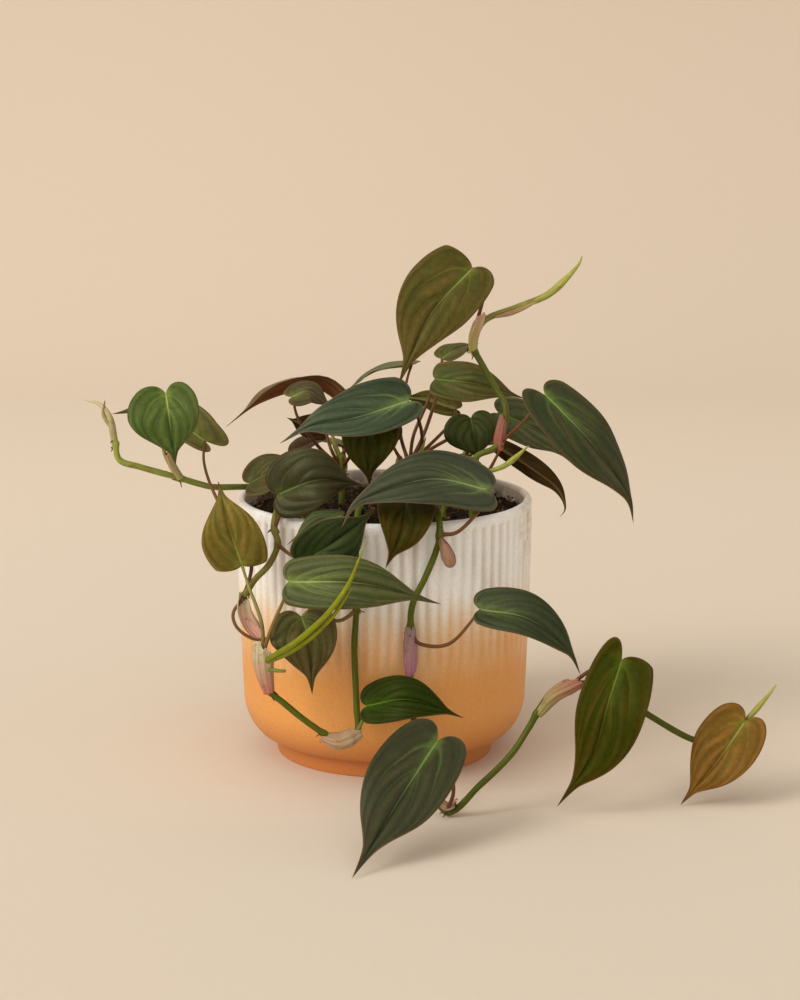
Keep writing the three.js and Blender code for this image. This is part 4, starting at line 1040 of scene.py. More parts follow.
def leaf_material(name, settings):
    """Velvety leaf: a mottled blade, pale veins, a bright midrib, a thin rim, another underside"""
    look = Look(*LOOKS[name])
    main, patch, vein, rib, under = (linear(colour) for colour in look[:5])
    shader = Shader(
        f"Velvet leaf {name.replace('_', ' ')}", roughness=0.4,
        Sheen_Weight=SHEEN * look.satin, Sheen_Roughness=0.3, Sheen_Tint=SHEEN_TINT,
        Specular_IOR_Level=grown(GLOSS, look.satin),
        Specular_Tint=(0.95, 1, grown(GLOSS_BLUE, look.satin), 1),
    )
    times, soft, lay = shader.times, shader.soft, shader.lay
    count, share, across = shader.split(shader.attribute("lines"))
    room, edge, upper = shader.split(shader.attribute("blade"))
    place = shader.place()
    drawn = shader.stretched("lines", LEAF_STRETCH)
    cloud = shader.noise(drawn, "cloud")
    fine = shader.noise(place, "fine")
    wander = shader.math("SUBTRACT", shader.noise(place, "wander"), 0.5)
    # Distance to the nearest vein in millimetres, and as a share of the way to the next one
    count = shader.math("ADD", count, times(wander, VEIN_WANDER))
    beside = shader.math("SUBTRACT", shader.math("FRACT", count), 0.5)
    beside = shader.math("SUBTRACT", 0.5, shader.math("ABSOLUTE", beside))
    gap = times(beside, room)
    inside = soft(count, "inside")
    fade = times(soft(share, "fade_along"), soft(edge, "fade_edge"))
    middle = shader.math("ABSOLUTE", across)
    # The field, its second tone, painted shade in the quilting's valleys and beside the midrib, and
    # a painted highlight on its bulges
    mottle = shader.math("MAXIMUM", soft(cloud, "mottle"), soft(edge, "mottle_edge"))
    body = lay(main, patch, mottle, look.patches)
    valley_painted_shade = times(soft(beside, "valley_painted_shade"), inside)
    valley_painted_shade = shader.math("MAXIMUM", valley_painted_shade, soft(middle, "painted_shade_at_rib"))
    body = lay(body, shaded(main, VALLEY_SHADE), valley_painted_shade, grown(VALLEY_PAINTED_SHADE, look.satin))
    bulge_painted_highlight = times(soft(beside, "bulge_painted_highlight"), soft(cloud, "painted_highlight_cloud"))
    body = lay(body, shaded(main, *BULGE_HIGHLIGHT_FACTOR), bulge_painted_highlight, grown(BULGE_PAINTED_HIGHLIGHT, look.veins))
    # The glow beside the midrib and the veins
    bright = [value * part for value, part in zip(rib, GLOW_TINT)]
    glow = times(soft(middle, "glow"), soft(share, "glow_along"))
    body = lay(body, bright, glow, GLOW * look.veins)
    halo = times(fade, soft(share, "halo_along"), times(soft(gap, "halo"), inside))
    body = lay(body, bright, halo, HALO * look.veins)
    body = shader.dim(body, soft(fine, "leaf_speck"))
    body = shader.dim(body, soft(shader.noise(drawn, "band"), "leaf_band"))
    # The veins, their net, the midrib, dust, the margin and the dry tip
    line = times(soft(gap, "vein"), inside, fade)
    body = lay(body, vein, line, VEIN_LINE * look.veins)
    net = soft(shader.cells(place, NET_SCALE, "DISTANCE_TO_EDGE"), "net")
    body = lay(body, vein, net, NET)
    slim = soft(share, "rib_width")
    rib_line = shader.step(middle, slim, shader.math("ADD", slim, RIB_SOFTNESS), 1.0, 0.0)
    rib_fade = shader.step(share, *STEP["rib_along"], grown(RIB_BRIGHT, look.veins), RIB_FAINT)
    body = lay(body, rib, times(rib_line, rib_fade))
    dust = times(soft(shader.cells(place, DUST_SCALE), "dust"), soft(fine, "dust_speck"))
    body = lay(body, paint("dust"), dust, grown(DUST, look.satin))
    body = lay(body, tuple(settings.rim), soft(edge, "rim"))
    body = lay(body, paint("dry_tip"), soft(share, "tip"), DRY_TIP)
    back = lay(under, shaded(under, UNDER_SHADE), soft(cloud, "under"))
    back = lay(back, vein, line, VEIN_UNDER)
    back = lay(back, rib, rib_line)
    colour = lay(back, body, soft(upper, "side"))
    grain = times(shader.noise(place, "grain"), GRAIN_RELIEF)
    height = shader.math("ADD", grain, times(net, NET_RELIEF))
    height = shader.math("ADD", height, times(line, VEIN_RELIEF))
    return shader.finish(colour, "leaf", height)


# Vines

# The kinds of limb, in the order of a vine's materials
KINDS = ("stem", "sheath", "root")


class Limbs:
    """Collects swept limbs into the points, faces and attributes of one piece"""

    def __init__(self):
        self.points = []
        self.faces = []
        self.kinds = []
        self.around = []
        self.tints = []
        self.count = 0

    def collect(self, points, faces, kind, around, tints):
        self.points.append(points)
        self.faces += faces
        self.kinds += [KINDS.index(kind)] * len(faces)
        self.around.append(around)
        self.tints.append(tints)
        self.count += len(points)

    def add(self, route, radii, colours, kind, sides, step, flat=1.0, ridges=0, frill=0.0):
        """Sweeps a tapered limb with round ends along a smooth route. radii is a list of radii
        that is spread evenly, or a function of the length along the limb"""
        path = Path(route)
        radius_at = radii if callable(radii) else evenly(radii, path.length)
        first = float(radius_at(np.zeros(1))[0])
        last = float(radius_at(np.array([path.length]))[0])
        caps = np.array(CAP_RINGS)
        inner = np.arange(first * CAP_CLEARANCE, path.length - last * CAP_CLEARANCE, step)
        along = np.concatenate([caps * first, inner, path.length - caps[::-1] * last])
        along = np.unique(along)
        along = along[(along > 0) & (along < path.length)]
        radius = radius_at(along) * rounding(along / max(first, TINY))
        radius = radius * rounding((path.length - along) / max(last, TINY))
        share = along / path.length
        headings = path.heading(share)
        normals = np.array(list(rolled(headings)))
        binormals = np.cross(headings, normals)
        angles = np.linspace(0, 2 * np.pi, sides, endpoint=False)
        ripple = 1 + (RIDGE_HEIGHT if ridges else 0) * np.cos(ridges * angles)[None, :]
        wavy = np.cos(FRILLS * angles + FRILL_TURN)[None, :]
        ripple = ripple + frill * share[:, None] ** FRILL_POWER * wavy
        reach = radius[:, None] * ripple
        wide = (reach * np.cos(angles))[..., None]
        tall = (reach * np.sin(angles) * flat)[..., None]
        rings = path.at(share)[:, None] + wide * normals[:, None] + tall * binormals[:, None]
        points = np.vstack([rings.reshape(-1, 3), path.at(0), path.at(1)])
        grid = self.count + np.arange(len(along) * sides).reshape(len(along), sides)
        turned = np.hstack([grid, grid[:, :1]])
        low = self.count + grid.size
        faces = sheet_faces(turned, flipped=True).tolist()
        for side in range(sides):
            faces.append([low, int(turned[0, side + 1]), int(turned[0, side])])
            faces.append([low + 1, int(turned[-1, side]), int(turned[-1, side + 1])])
        around = np.stack(np.broadcast_arrays(
            np.cos(angles) * TINT_RADIUS, np.sin(angles) * TINT_RADIUS, along[:, None],
        ), axis=-1).reshape(-1, 3)
        around = np.vstack([around, [[0, 0, 0], [0, 0, path.length]]])
        tints = blended(colours, np.concatenate([np.repeat(share, sides), [0, 1]]))
        self.collect(points, faces, kind, around, tints)

    def wrap(self, route, radii, colours, turn, split):
        """Wraps a thin papery sheath with a split side and a slanting, ragged open end"""
        path = Path(route)
        angles = np.radians(np.linspace(split, 360 - split, SHEATH_COLUMNS) + turn)
        lean = 0.5 + 0.5 * np.cos(angles - np.radians(turn + 180))
        top = SHEATH_SHORT + (1 - SHEATH_SHORT) * lean ** SHEATH_SLANT
        for (height, rags), shift in ((COARSE_RAGS, turn), (FINE_RAGS, 1)):
            top = top + height * np.sin(angles * rags + shift)
        run = np.linspace(0, 1, SHEATH_ROWS)[:, None]
        share = np.clip(run * top[None, :], 0, 1)
        folds = SHEATH_FOLD * np.cos(angles * SHEATH_FOLDS)[None, :]
        flare = SHEATH_FLARE * share * np.sin(angles * 2 + turn)[None, :]
        radius = evenly(radii, 1)(share) * (1 + folds + flare)
        centres = path.at(share.ravel())
        headings = path.heading(share.ravel())
        first = unit(np.cross(headings, ROLL_AXIS))
        second = np.cross(headings, first)
        spread = np.tile(angles, SHEATH_ROWS)[:, None]
        outwards = np.cos(spread) * first + np.sin(spread) * second
        outer = centres + outwards * radius.reshape(-1, 1)
        inner = centres + outwards * (radius.reshape(-1, 1) - SHEATH_SKIN)
        grid = self.count + np.arange(share.size).reshape(share.shape)
        back = grid + share.size
        rims = (
            (grid[0, :-1], back[0, :-1], back[0, 1:], grid[0, 1:]),
            (grid[-1, 1:], back[-1, 1:], back[-1, :-1], grid[-1, :-1]),
            (grid[1:, 0], back[1:, 0], back[:-1, 0], grid[:-1, 0]),
            (grid[:-1, -1], back[:-1, -1], back[1:, -1], grid[1:, -1]),
        )
        rims = [np.stack(corners, axis=-1) for corners in rims]
        faces = np.vstack([sheet_faces(grid, flipped=True), sheet_faces(back)] + rims).tolist()
        along = share.reshape(-1, 1)
        around = np.hstack([
            np.cos(spread) * TINT_RADIUS, np.sin(spread) * TINT_RADIUS, along * path.length,
        ])
        tints = blended(colours, along)
        self.collect(
            np.vstack([outer, inner]), faces, "sheath", np.vstack([around, around]),
            np.vstack([tints, tints]))

    def piece(self, name, materials, *nodes):
        points = np.vstack(self.points)
        piece = new_piece(name, points, self.faces, materials, "vine", *nodes)
        piece.data.polygons.foreach_set("material_index", self.kinds)
        put_vectors(piece.data, "limb", np.vstack(self.around))
        put_vectors(piece.data, "tint", np.vstack(self.tints), "FLOAT_COLOR", "color")


def evenly(radii, length):
    """Radii spread evenly along a length, as a function of the place along it"""
    def radius_at(along):
        return np.interp(along, np.linspace(0, length, len(radii)), radii)
    return radius_at


def rounding(gaps):
    """How a limb rounds off at an end, from gaps in radii to that end"""
    return np.sqrt(1 - (1 - np.clip(gaps, 0, 1)) ** 2)


def rolled(headings):
    """A direction square to each heading that turns as little as it can from one to the next"""
    normal = np.cross(headings[0], ROLL_AXIS)
    for heading in headings:
        normal = normal - heading * (normal @ heading)
        normal = normal / np.linalg.norm(normal)
        yield normal


def soil_height(x, y):
    return SOIL_LEVEL + SOIL_MOUND * (1 - (x * x + y * y) / POT_RADIUS ** 2)


def stem_route(vine):
    x, y = vine.root
    ground = soil_height(x, y)
    rooted = ((x, y, ground - ROOT_DEPTH), (x, y, ground), (x, y, ground + STEM_RADIUS * ROOT_RISE))
    return rooted + tuple(vine.stem)


def knuckled(radius, nodes):
    """The radius along a stem that swells at each of its nodes"""
    def radius_at(along):
        swell = np.zeros_like(along, dtype=float)
        for place in nodes:
            swell += KNUCKLE_RISE * np.exp(-((along - place) / KNUCKLE_LENGTH) ** 2)
            swell -= NECK_DEPTH * np.exp(-((along - place - NECK_PLACE) / NECK_LENGTH) ** 2)
        uneven = UNEVENNESS * np.sin(along * UNEVEN_RATE)
        return radius * (1 + np.minimum(swell, KNUCKLE_MOST) + uneven)
    return radius_at


def stalk_radius(length, base, thin, end):
    """A stalk widens into a short collar where it leaves its stem and again under its blade"""
    def radius_at(along):
        plain = np.interp(along, (0, length * 0.5, length), (thin * STALK_FLARE, thin, end))
        collar = (base - thin) * np.exp(-(along / COLLAR_LENGTH) ** 2)
        joint = np.exp(-((length - along - JOINT_LENGTH) / JOINT_LENGTH) ** 2)
        return plain + collar + JOINT_RISE * thin * joint
    return radius_at


def vine_piece(name, vine, materials, settings):
    """One vine with its stalks, sheaths, shoots and root stubs"""
    draw = np.random.default_rng(sum(map(ord, name)))
    limbs = Limbs()
    route = stem_route(vine)
    path = Path(route)
    carried = {key: leaf for key, leaf in LEAVES.items() if leaf.vine == name}
    nodes = [path.nearest(leaf.stalk[0]) for leaf in carried.values()]
    nodes += [path.nearest(growth.route[0]) for growth in vine.growths]
    nodes = [place for place in nodes if place > ROOT_DEPTH + FIRST_NODE]
    stem = settings.stem_radius / MM
    limbs.add(route, knuckled(stem, nodes), vine.colours, **STEM_SWEEP)
    for key, leaf in carried.items():
        stalk = leaf.stalk + (leaf.rib[0],)
        length = Path(stalk).length
        radii = stalk_radius(length, stem * COLLAR_SHARE, settings.stalk_radius / MM, STALK_END)
        limbs.add(stalk, radii, STALK_COLOURS.get(key, USUAL_STALK), **STALK_SWEEP)
    for growth in vine.growths:
        grow(limbs, growth)
    for place in nodes:
        root_stubs(limbs, path.at(place / path.length)[0], draw)
    limbs.piece(f"stems_{name}", materials, f"vine_{name}")


def grow(limbs, growth):
    """A papery sheath, a new shoot, a pair of shoots or a small bud"""
    limb = (growth.route, growth.radii, growth.colours)
    if growth.kind == "sheath":
        limbs.wrap(*limb, growth.turn, growth.split)
    elif growth.kind == "pouch":
        limbs.add(*limb, **POUCH_SWEEP)
    elif growth.kind == "pair":
        pair_of_shoots(limbs, *limb)
    else:
        limbs.add(*limb, **SHOOT_SWEEP)


def pair_of_shoots(limbs, route, radii, colours):
    """Two slim strands that part beyond their foot, the second one shorter"""
    slim = [radius * SHOOT_SLIMNESS for radius in radii]
    for shift, points in ((-1, route), (1, route[:-2])):
        last = len(points) - 1
        apart = [
            shift * SHOOT_GAP * min(1, SHOOT_PARTING * index / last) for index in range(last + 1)
        ]
        if shift < 0:
            apart[-1] = 0
        moved = [
            [value + gap * lean for value, lean in zip(point, SHOOT_LEAN)]
            for gap, point in zip(apart, points)
        ]
        limbs.add(moved, slim, colours, **SHOOT_SWEEP)


def root_stubs(limbs, node, draw):
    """A few short dark air roots at a node"""
    for _ in range(int(draw.integers(*ROOT_NUMBER))):
        way = draw.normal(0, 1, 3)
        way[2] = -abs(way[2]) * ROOT_DROOP
        way = way / np.linalg.norm(way)
        length = draw.uniform(*ROOT_LENGTH)
        middle = node + way * length * 0.5 + draw.normal(0, ROOT_WANDER, 3)
        end = node + way * length + (0, 0, -ROOT_SAG)
        if end[2] >= ROOT_LOWEST:
            limbs.add((node, middle, end), ROOT_RADII, ROOT_COLOURS, **ROOT_SWEEP)


def stem_material():
    """Smooth stem: its own tint, fine streaks along it and small pale freckles"""
    shader = Shader(
        "Vine stem", roughness=0.4, Specular_IOR_Level=0.3, Specular_Tint=(1, 1, 0.5, 1))
    streak = shader.noise(shader.stretched("limb", STEM_STRETCH), "stem_streak")
    freckle = shader.soft(shader.cells(shader.attribute("limb"), FRECKLE_SCALE), "freckle")
    blotch = shader.soft(shader.noise(shader.place(), "stem_blotch"), "stem_blotch")
    colour = shader.dim(shader.attribute("tint", "Color"), shader.soft(streak, "stem_streak"))
    colour = shader.lay(colour, paint("stem_blotch"), blotch)
    colour = shader.lay(colour, paint("freckle"), freckle, FRECKLES)
    height = shader.math("ADD", streak, shader.times(freckle, SPOT_RELIEF))
    return shader.finish(colour, "stem", height)


def sheath_material():
    """Papery sheath: translucent skin with many fine veins along it"""
    shader = Shader("Papery sheath", roughness=0.5, Subsurface_Weight=0.25, Subsurface_Scale=0.002)
    stripe = shader.noise(shader.stretched("limb", SHEATH_STRETCH), "sheath_stripe")
    blotch = shader.soft(shader.noise(shader.place(), "sheath_blotch"), "sheath_blotch")
    colour = shader.dim(shader.attribute("tint", "Color"), shader.soft(stripe, "sheath_stripe"))
    colour = shader.lay(colour, paint("sheath_blotch"), blotch)
    return shader.finish(colour, "sheath", stripe)


def root_material():
    """Dry brown air root"""
    shader = Shader("Air root", roughness=0.85)
    flecks = shader.noise(shader.place(), "root_fleck")
    colour = shader.dim(shader.attribute("tint", "Color"), shader.soft(flecks, "root_fleck"))
    return shader.finish(colour, "root", flecks)


# The pot and the soil

def arc_points(centre, radii, first, last, count):
    """Points of an elliptic arc in the (radius, height) plane, angles in degrees"""
    return [
        (centre[0] + radii[0] * math.cos(angle), centre[1] + radii[1] * math.sin(angle))
        for angle in np.radians(np.linspace(first, last, count))
    ]


def circle(radius, height):
    """Points round the upright axis, one for each side of the soil"""
    angles = [2 * math.pi * side / SOIL_SIDES for side in range(SOIL_SIDES)]
    return [(radius * math.cos(angle), radius * math.sin(angle), height) for angle in angles]


def wall_radius(height):
    share = (height - SHOULDER_HEIGHT) / (RIB_TOP - SHOULDER_HEIGHT)
    return SHOULDER_RADIUS + (POT_RADIUS - SHOULDER_RADIUS) * math.sin(share * math.pi / 2)


def pot_profile():
    """The pot's section from the middle of its foot, up the outside, over the lip and down"""
    points = [(radius, 0) for radius in FOOT_RINGS]
    edge = (FOOT_EDGE, FOOT_EDGE)
    points += arc_points((FOOT_RADIUS - FOOT_EDGE, FOOT_EDGE), edge, *FOOT_ARC)
    points += [(FOOT_RADIUS, height) for height in FOOT_STEPS]
    bowl = (SHOULDER_RADIUS - FOOT_RADIUS, SHOULDER_HEIGHT - FOOT_HEIGHT)
    points += arc_points((FOOT_RADIUS, SHOULDER_HEIGHT), bowl, *BOWL_ARC)
    heights = np.linspace(WALL_START, RIB_TOP, WALL_ROWS)
    points += [(wall_radius(height), height) for height in heights]
    points += [(POT_RADIUS, RIB_TOP + rise) for rise in LIP_STEPS]
    lip = WALL / 2
    points += arc_points((POT_RADIUS - lip, POT_HEIGHT - lip), (lip, lip), *LIP_ARC)
    top = np.array((POT_RADIUS - WALL, POT_HEIGHT - lip))
    corner = np.array((SHOULDER_RADIUS - WALL, SHOULDER_HEIGHT + lip))
    foot = np.array((FOOT_RADIUS - WALL, FLOOR_THICKNESS))
    points += [tuple(top + (corner - top) * share) for share in np.linspace(*INNER_STEPS)]
    points += [tuple((corner + foot) / 2), tuple(foot), (FLOOR_RING, FLOOR_THICKNESS)]
    return points + [(0, FLOOR_THICKNESS)]


def geometry_tree(name, **inputs):
    """A Geometry Nodes tree with named inputs, and the identifiers of those inputs"""
    tree = bpy.data.node_groups.new(name, "GeometryNodeTree")
    new_socket = tree.interface.new_socket
    new_socket(name="Geometry", in_out="INPUT", socket_type="NodeSocketGeometry")
    identifiers = {}
    for title, kind in inputs.items():
        title = title.replace("_", " ")
        socket = new_socket(name=title, in_out="INPUT", socket_type=f"NodeSocket{kind}")
        identifiers[title] = socket.identifier
    new_socket(name="Geometry", in_out="OUTPUT", socket_type="NodeSocketGeometry")
    return Tree(tree), identifiers


def run_tree(holder, tree, identifiers, values):
    """Runs a tree on an object and keeps its result as the object's plain mesh"""
    modifier = holder.modifiers.new(tree.tree.name, "NODES")
    modifier.node_group = tree.tree
    for title, value in values.items():
        modifier[identifiers[title]] = value
    return plain_mesh(holder)


def close_tree(tree, geometry, finish):
    real = tree.node("GeometryNodeRealizeInstances", {"Geometry": geometry})
    smooth = tree.node("GeometryNodeSetShadeSmooth", {"Geometry": real.outputs[0]})
    inputs = {"Geometry": smooth.outputs[0], "Material": finish}
    painted = tree.node("GeometryNodeSetMaterial", inputs)
    tree.node("NodeGroupOutput", {"Geometry": painted.outputs[0]})


def rib_groove(tree, given, turn, radius, height):
    """How deep the grooves are, from 0 to 1, round the pot and up its outer wall"""
    bottom = given["Rib bottom"]
    top = given["Rib top"]
    rise = tree.step(height, bottom, tree.math("ADD", bottom, given["Rib fade"]))
    below = tree.math("SUBTRACT", top, RIB_END_BELOW * MM)
    fall = tree.step(height, below, tree.math("ADD", top, RIB_END_ABOVE * MM), 1.0, 0.0)
    wave = tree.math("COSINE", tree.times(turn, given["Ribs"]))
    groove = tree.times(tree.math("SUBTRACT", 1.0, wave), 0.5)
    groove = tree.math("POWER", groove, RIB_SHARPNESS)
    outer = tree.math("GREATER_THAN", radius, given["Least radius"])
    return tree.times(groove, outer, tree.times(rise, fall))


def lathe_tree():
    """Turns the section about the upright axis and cuts the ribs' grooves into the outer wall"""
    tree, identifiers = geometry_tree(
        "Ribbed pot", Section_points="Int", Columns="Int", Ribs="Int", Relief="Float",
        Rib_bottom="Float", Rib_top="Float", Rib_fade="Float", Least_radius="Float",
        Finish="Material",
    )
    given = tree.node("NodeGroupInput").outputs
    rows = given["Section points"]
    sheet = tree.node("GeometryNodeMeshGrid", {
        "Size X": 1.0, "Size Y": 1.0, "Vertices Y": rows,
        "Vertices X": tree.math("ADD", given["Columns"], 1.0),
    })
    here = tree.node("GeometryNodeInputPosition").outputs[0]
    across, up, _ = tree.split(here)
    turn = tree.times(tree.math("ADD", across, 0.5), 2 * math.pi)
    last_row = tree.math("SUBTRACT", rows, 1.0)
    row = tree.math("ROUND", tree.times(tree.math("ADD", up, 0.5), last_row))
    sample = tree.node(
        "GeometryNodeSampleIndex", data_type="FLOAT_VECTOR", domain="POINT")
    for name, value in (("Geometry", given["Geometry"]), ("Value", here), ("Index", row)):
        tree.put(value, sample.inputs[name])
    radius, _, height = tree.split(sample.outputs[0])
    groove = rib_groove(tree, given, turn, radius, height)
    radius = tree.math("SUBTRACT", radius, tree.times(groove, given["Relief"]))
    spot = tree.node("ShaderNodeCombineXYZ", {
        "X": tree.times(radius, tree.math("SINE", turn)),
        "Y": tree.times(radius, tree.times(tree.math("COSINE", turn), -1.0)),
        "Z": height,
    })
    marked = tree.node("GeometryNodeStoreNamedAttribute", data_type="FLOAT", domain="POINT")
    for name, value in (("Geometry", sheet.outputs[0]), ("Name", "groove"), ("Value", groove)):
        tree.put(value, marked.inputs[name])
    moved = tree.node("GeometryNodeSetPosition", {
        "Geometry": marked.outputs[0], "Position": spot.outputs[0],
    })
    joined = tree.node("GeometryNodeMergeByDistance", {
        "Geometry": moved.outputs[0], "Distance": MERGE_GAP * MM,
    })
    close_tree(tree, joined.outputs[0], given["Finish"])
    return tree, identifiers


def outward(mesh):
    """Turns the faces of closed shells outwards"""
    shell = bmesh.new()
    shell.from_mesh(mesh)
    bmesh.ops.recalc_face_normals(shell, faces=shell.faces)
    shell.to_mesh(mesh)
    shell.free()


def make_pot(settings):
    section = [(radius, 0, height) for radius, height in pot_profile()]
    edges = [(index, index + 1) for index in range(len(section) - 1)]
    holder = mesh_object("glazed_pot", section, edges, [])
    mesh = run_tree(holder, *lathe_tree(), {
        "Section points": len(section), "Columns": settings.ribs * COLUMNS_PER_RIB,
        "Ribs": settings.ribs, "Relief": settings.rib_relief, "Rib bottom": RIB_BOTTOM * MM,
        "Rib top": RIB_TOP * MM, "Rib fade": RIB_FADE * MM,
        "Least radius": (SHOULDER_RADIUS - GROOVE_INSET) * MM, "Finish": glaze_material(settings),
    })
    outward(mesh)
    settle(holder, "pot", "pot")


def glaze_material(settings):
    """Cream glaze over the ribs that runs down in streaks into a matt orange glaze"""
    shader = Shader("Dipped glaze", roughness=0.35, Coat_Weight=0.15, Coat_Roughness=0.25)
    times, soft, lay = shader.times, shader.soft, shader.lay
    place = shader.place()
    side, depth, height = shader.split(shader.place((1 / MM, 1 / MM, 1 / MM)))
    groove = shader.split(shader.attribute("groove"))[0]
    streak = shader.noise(shader.place(STREAK_STRETCH), "glaze_streak")
    broad = shader.noise(shader.place(BROAD_STRETCH), "glaze_broad")
    speck = shader.noise(place, "glaze_speck")
    grime = shader.noise(place, "grime")
    # The line where the glazes meet wanders and runs down between the grooves
    shift = shader.math("ADD", soft(streak, "streak_shift"), soft(broad, "broad_shift"))
    line = shader.math("ADD", height, shift)
    line = shader.math("SUBTRACT", line, times(groove, GROOVE_RUN))
    low = lay(tuple(settings.foot_glaze), tuple(settings.lower_glaze), soft(height, "foot"))
    low = lay(low, paint("peach"), soft(line, "peach"))
    stain = lay(paint("pale_stain"), paint("dark_stain"), soft(broad, "stain"))
    stained = times(groove, soft(broad, "stain_in_groove"))
    above = lay(tuple(settings.upper_glaze), stain, stained)
    smear = times(soft(broad, "smear"), soft(streak, "smear_streak"))
    above = lay(above, paint("smear"), smear, SMEARS)
    above = lay(above, paint("warm"), soft(height, "warm"))
    colour = lay(low, above, soft(line, "cream"))
    # The inner wall above the soil, the worn rim at the right and the specks
    reach = shader.math("ADD", times(side, side), times(depth, depth))
    inner = times(soft(shader.math("SQRT", reach), "inner_reach"), soft(height, "inner_height"))
    colour = lay(colour, paint("inner"), inner, INNER_WALL)
    smudge = times(inner, soft(height, "smudge_height"), soft(grime, "smudge"))
    colour = lay(colour, paint("smudge"), smudge)
    worn = times(soft(side, "worn_side"), soft(height, "worn_height"), soft(grime, "worn"))
    colour = lay(colour, paint("worn"), worn)
    dots = times(soft(shader.cells(place, DOT_SCALE), "dot"), soft(speck, "dot_speck"))
    colour = lay(colour, paint("dot"), dots, DOTS)
    colour = shader.dim(colour, soft(speck, "glaze_speck"))
    shader.put(soft(line, "glaze_roughness"), shader.surface.inputs["Roughness"])
    return shader.finish(colour, "glaze", speck)


def band_face(low, high, side):
    """A face between two rings of points, from the numbers of the rings' first points"""
    after = (side + 1) % SOIL_SIDES
    return (low + side, high + side, high + after, low + after)


def soil_surface():
    """The lumpy top of the soil as a grid of rings, its height from seeded noise"""
    edge = POT_RADIUS - WALL - SOIL_GAP
    flat = [(0, 0, 0)]
    for ring in range(1, SOIL_RINGS + 1):
        flat += circle(edge * ring / SOIL_RINGS, 0)
    points = []
    for x, y, _ in flat:
        lump = sum(
            height * noise.noise(Vector((x, y, plane)) * scale)
            for height, scale, plane in SOIL_LUMPS
        )
        points.append((x, y, soil_height(x, y) + lump * LUMP_HEIGHT))
    faces = []
    for side in range(SOIL_SIDES):
        faces.append((0, 1 + side, 1 + (side + 1) % SOIL_SIDES))
        for low in range(1, len(points) - SOIL_SIDES, SOIL_SIDES):
            faces.append(band_face(low, low + SOIL_SIDES, side))
    return points, faces


def make_soil(settings):
    """The soil's body with a lumpy top, and the loose crumbs and chips on it"""
    surface = soil_surface()
    points, faces = (list(part) for part in surface)
    deep = WALL + SOIL_GAP
    start = len(points) - SOIL_SIDES
    shoulder = (SHOULDER_RADIUS - deep, SHOULDER_HEIGHT + deep / 2)
    foot = (FOOT_RADIUS - deep, FLOOR_THICKNESS + SOIL_GAP)
    for radius, height in (shoulder, foot):
        faces += [band_face(start, len(points), side) for side in range(SOIL_SIDES)]
        start = len(points)
        points += circle(radius, height)
    faces.append(tuple(start + side for side in reversed(range(SOIL_SIDES))))
    ground, loose, bark = (soil_material(*item) for item in SOIL_COLOURS)
    new_piece("soil_bed", points, faces, [ground], "soil", "soil")
    beds = (
        ("soil_crumbs", surface, settings.crumbs, loose),
        ("bark_chips", surface, settings.chips, bark),
        ("wall_crumbs", wall_strip(), WALL_CRUMBS, loose),
    )
    for name, (points, faces), count, finish in beds:
        form, share, seed = CRUMBS[name]
        holder = mesh_object(name, points, [], faces)
        area = sum(face.area for face in holder.data.polygons)
        run_tree(holder, *crumb_tree(name.replace("_", " ")), {
            "Density": count / area, "Size": settings.crumb_size * share, "Form": form,
            "Seed": seed, "Finish": finish,
        })
        settle(holder, "soil", "soil")


def wall_strip():
    """The strip of the pot's inner wall above the soil"""
    low, high = (
        circle(POT_RADIUS - WALL - inset, SOIL_LEVEL + rise) for inset, rise in WALL_STRIP
    )
    points = [point for pair in zip(low, high) for point in pair]
    faces = []
    for side in range(SOIL_SIDES):
        after = (side + 1) % SOIL_SIDES
        faces.append((2 * side, 2 * side + 1, 2 * after + 1, 2 * after))
    return points, faces


def crumb_tree(name):
    """Strews rough crumbs over a surface, each with its own turn and size"""
    tree, identifiers = geometry_tree(
        name, Density="Float", Size="Float", Form="Vector", Seed="Int", Finish="Material")
    given = tree.node("NodeGroupInput").outputs
    size = given["Size"]
    spots = tree.node("GeometryNodeDistributePointsOnFaces", {
        "Mesh": given["Geometry"], "Density": given["Density"], "Seed": given["Seed"],
    })
    ball = tree.node("GeometryNodeMeshIcoSphere", {"Radius": 1.0, "Subdivisions": 1})
    form = tree.node("GeometryNodeTransform", {
        "Geometry": ball.outputs[0], "Scale": given["Form"],
    })
    turn = tree.node("FunctionNodeRandomValue", data_type="FLOAT_VECTOR")
    tree.put((0, 0, 0), turn.inputs[0])
    tree.put((FULL_TURN, FULL_TURN, FULL_TURN), turn.inputs[1])
    tree.put(given["Seed"], turn.inputs["Seed"])
    swell = tree.node("FunctionNodeRandomValue", data_type="FLOAT")
    tree.put(tree.times(size, SMALLEST_CRUMB), swell.inputs[2])
    tree.put(size, swell.inputs[3])
    tree.put(given["Seed"], swell.inputs["Seed"])
    placed = tree.node("GeometryNodeInstanceOnPoints", {
        "Points": spots.outputs["Points"], "Instance": form.outputs[0],
        "Rotation": turn.outputs[0], "Scale": swell.outputs[1],
    })
    real = tree.node("GeometryNodeRealizeInstances", {"Geometry": placed.outputs[0]})
    where = tree.node("GeometryNodeInputPosition").outputs[0]
    rough = tree.node("ShaderNodeTexNoise", {
        "Vector": where, "Scale": CRUMB_NOISE, "Detail": 1.0,
    })
    centred = tree.node("ShaderNodeVectorMath", operation="SUBTRACT")
    tree.put(rough.outputs["Color"], centred.inputs[0])
    tree.put((0.5, 0.5, 0.5), centred.inputs[1])
    small = tree.node("ShaderNodeVectorMath", operation="SCALE")
    tree.put(centred.outputs[0], small.inputs[0])
    tree.put(tree.times(size, CRUMB_ROUGHNESS), small.inputs["Scale"])
    moved = tree.node("GeometryNodeSetPosition", {
        "Geometry": real.outputs[0], "Offset": small.outputs[0],
    })
    close_tree(tree, moved.outputs[0], given["Finish"])
    return tree, identifiers


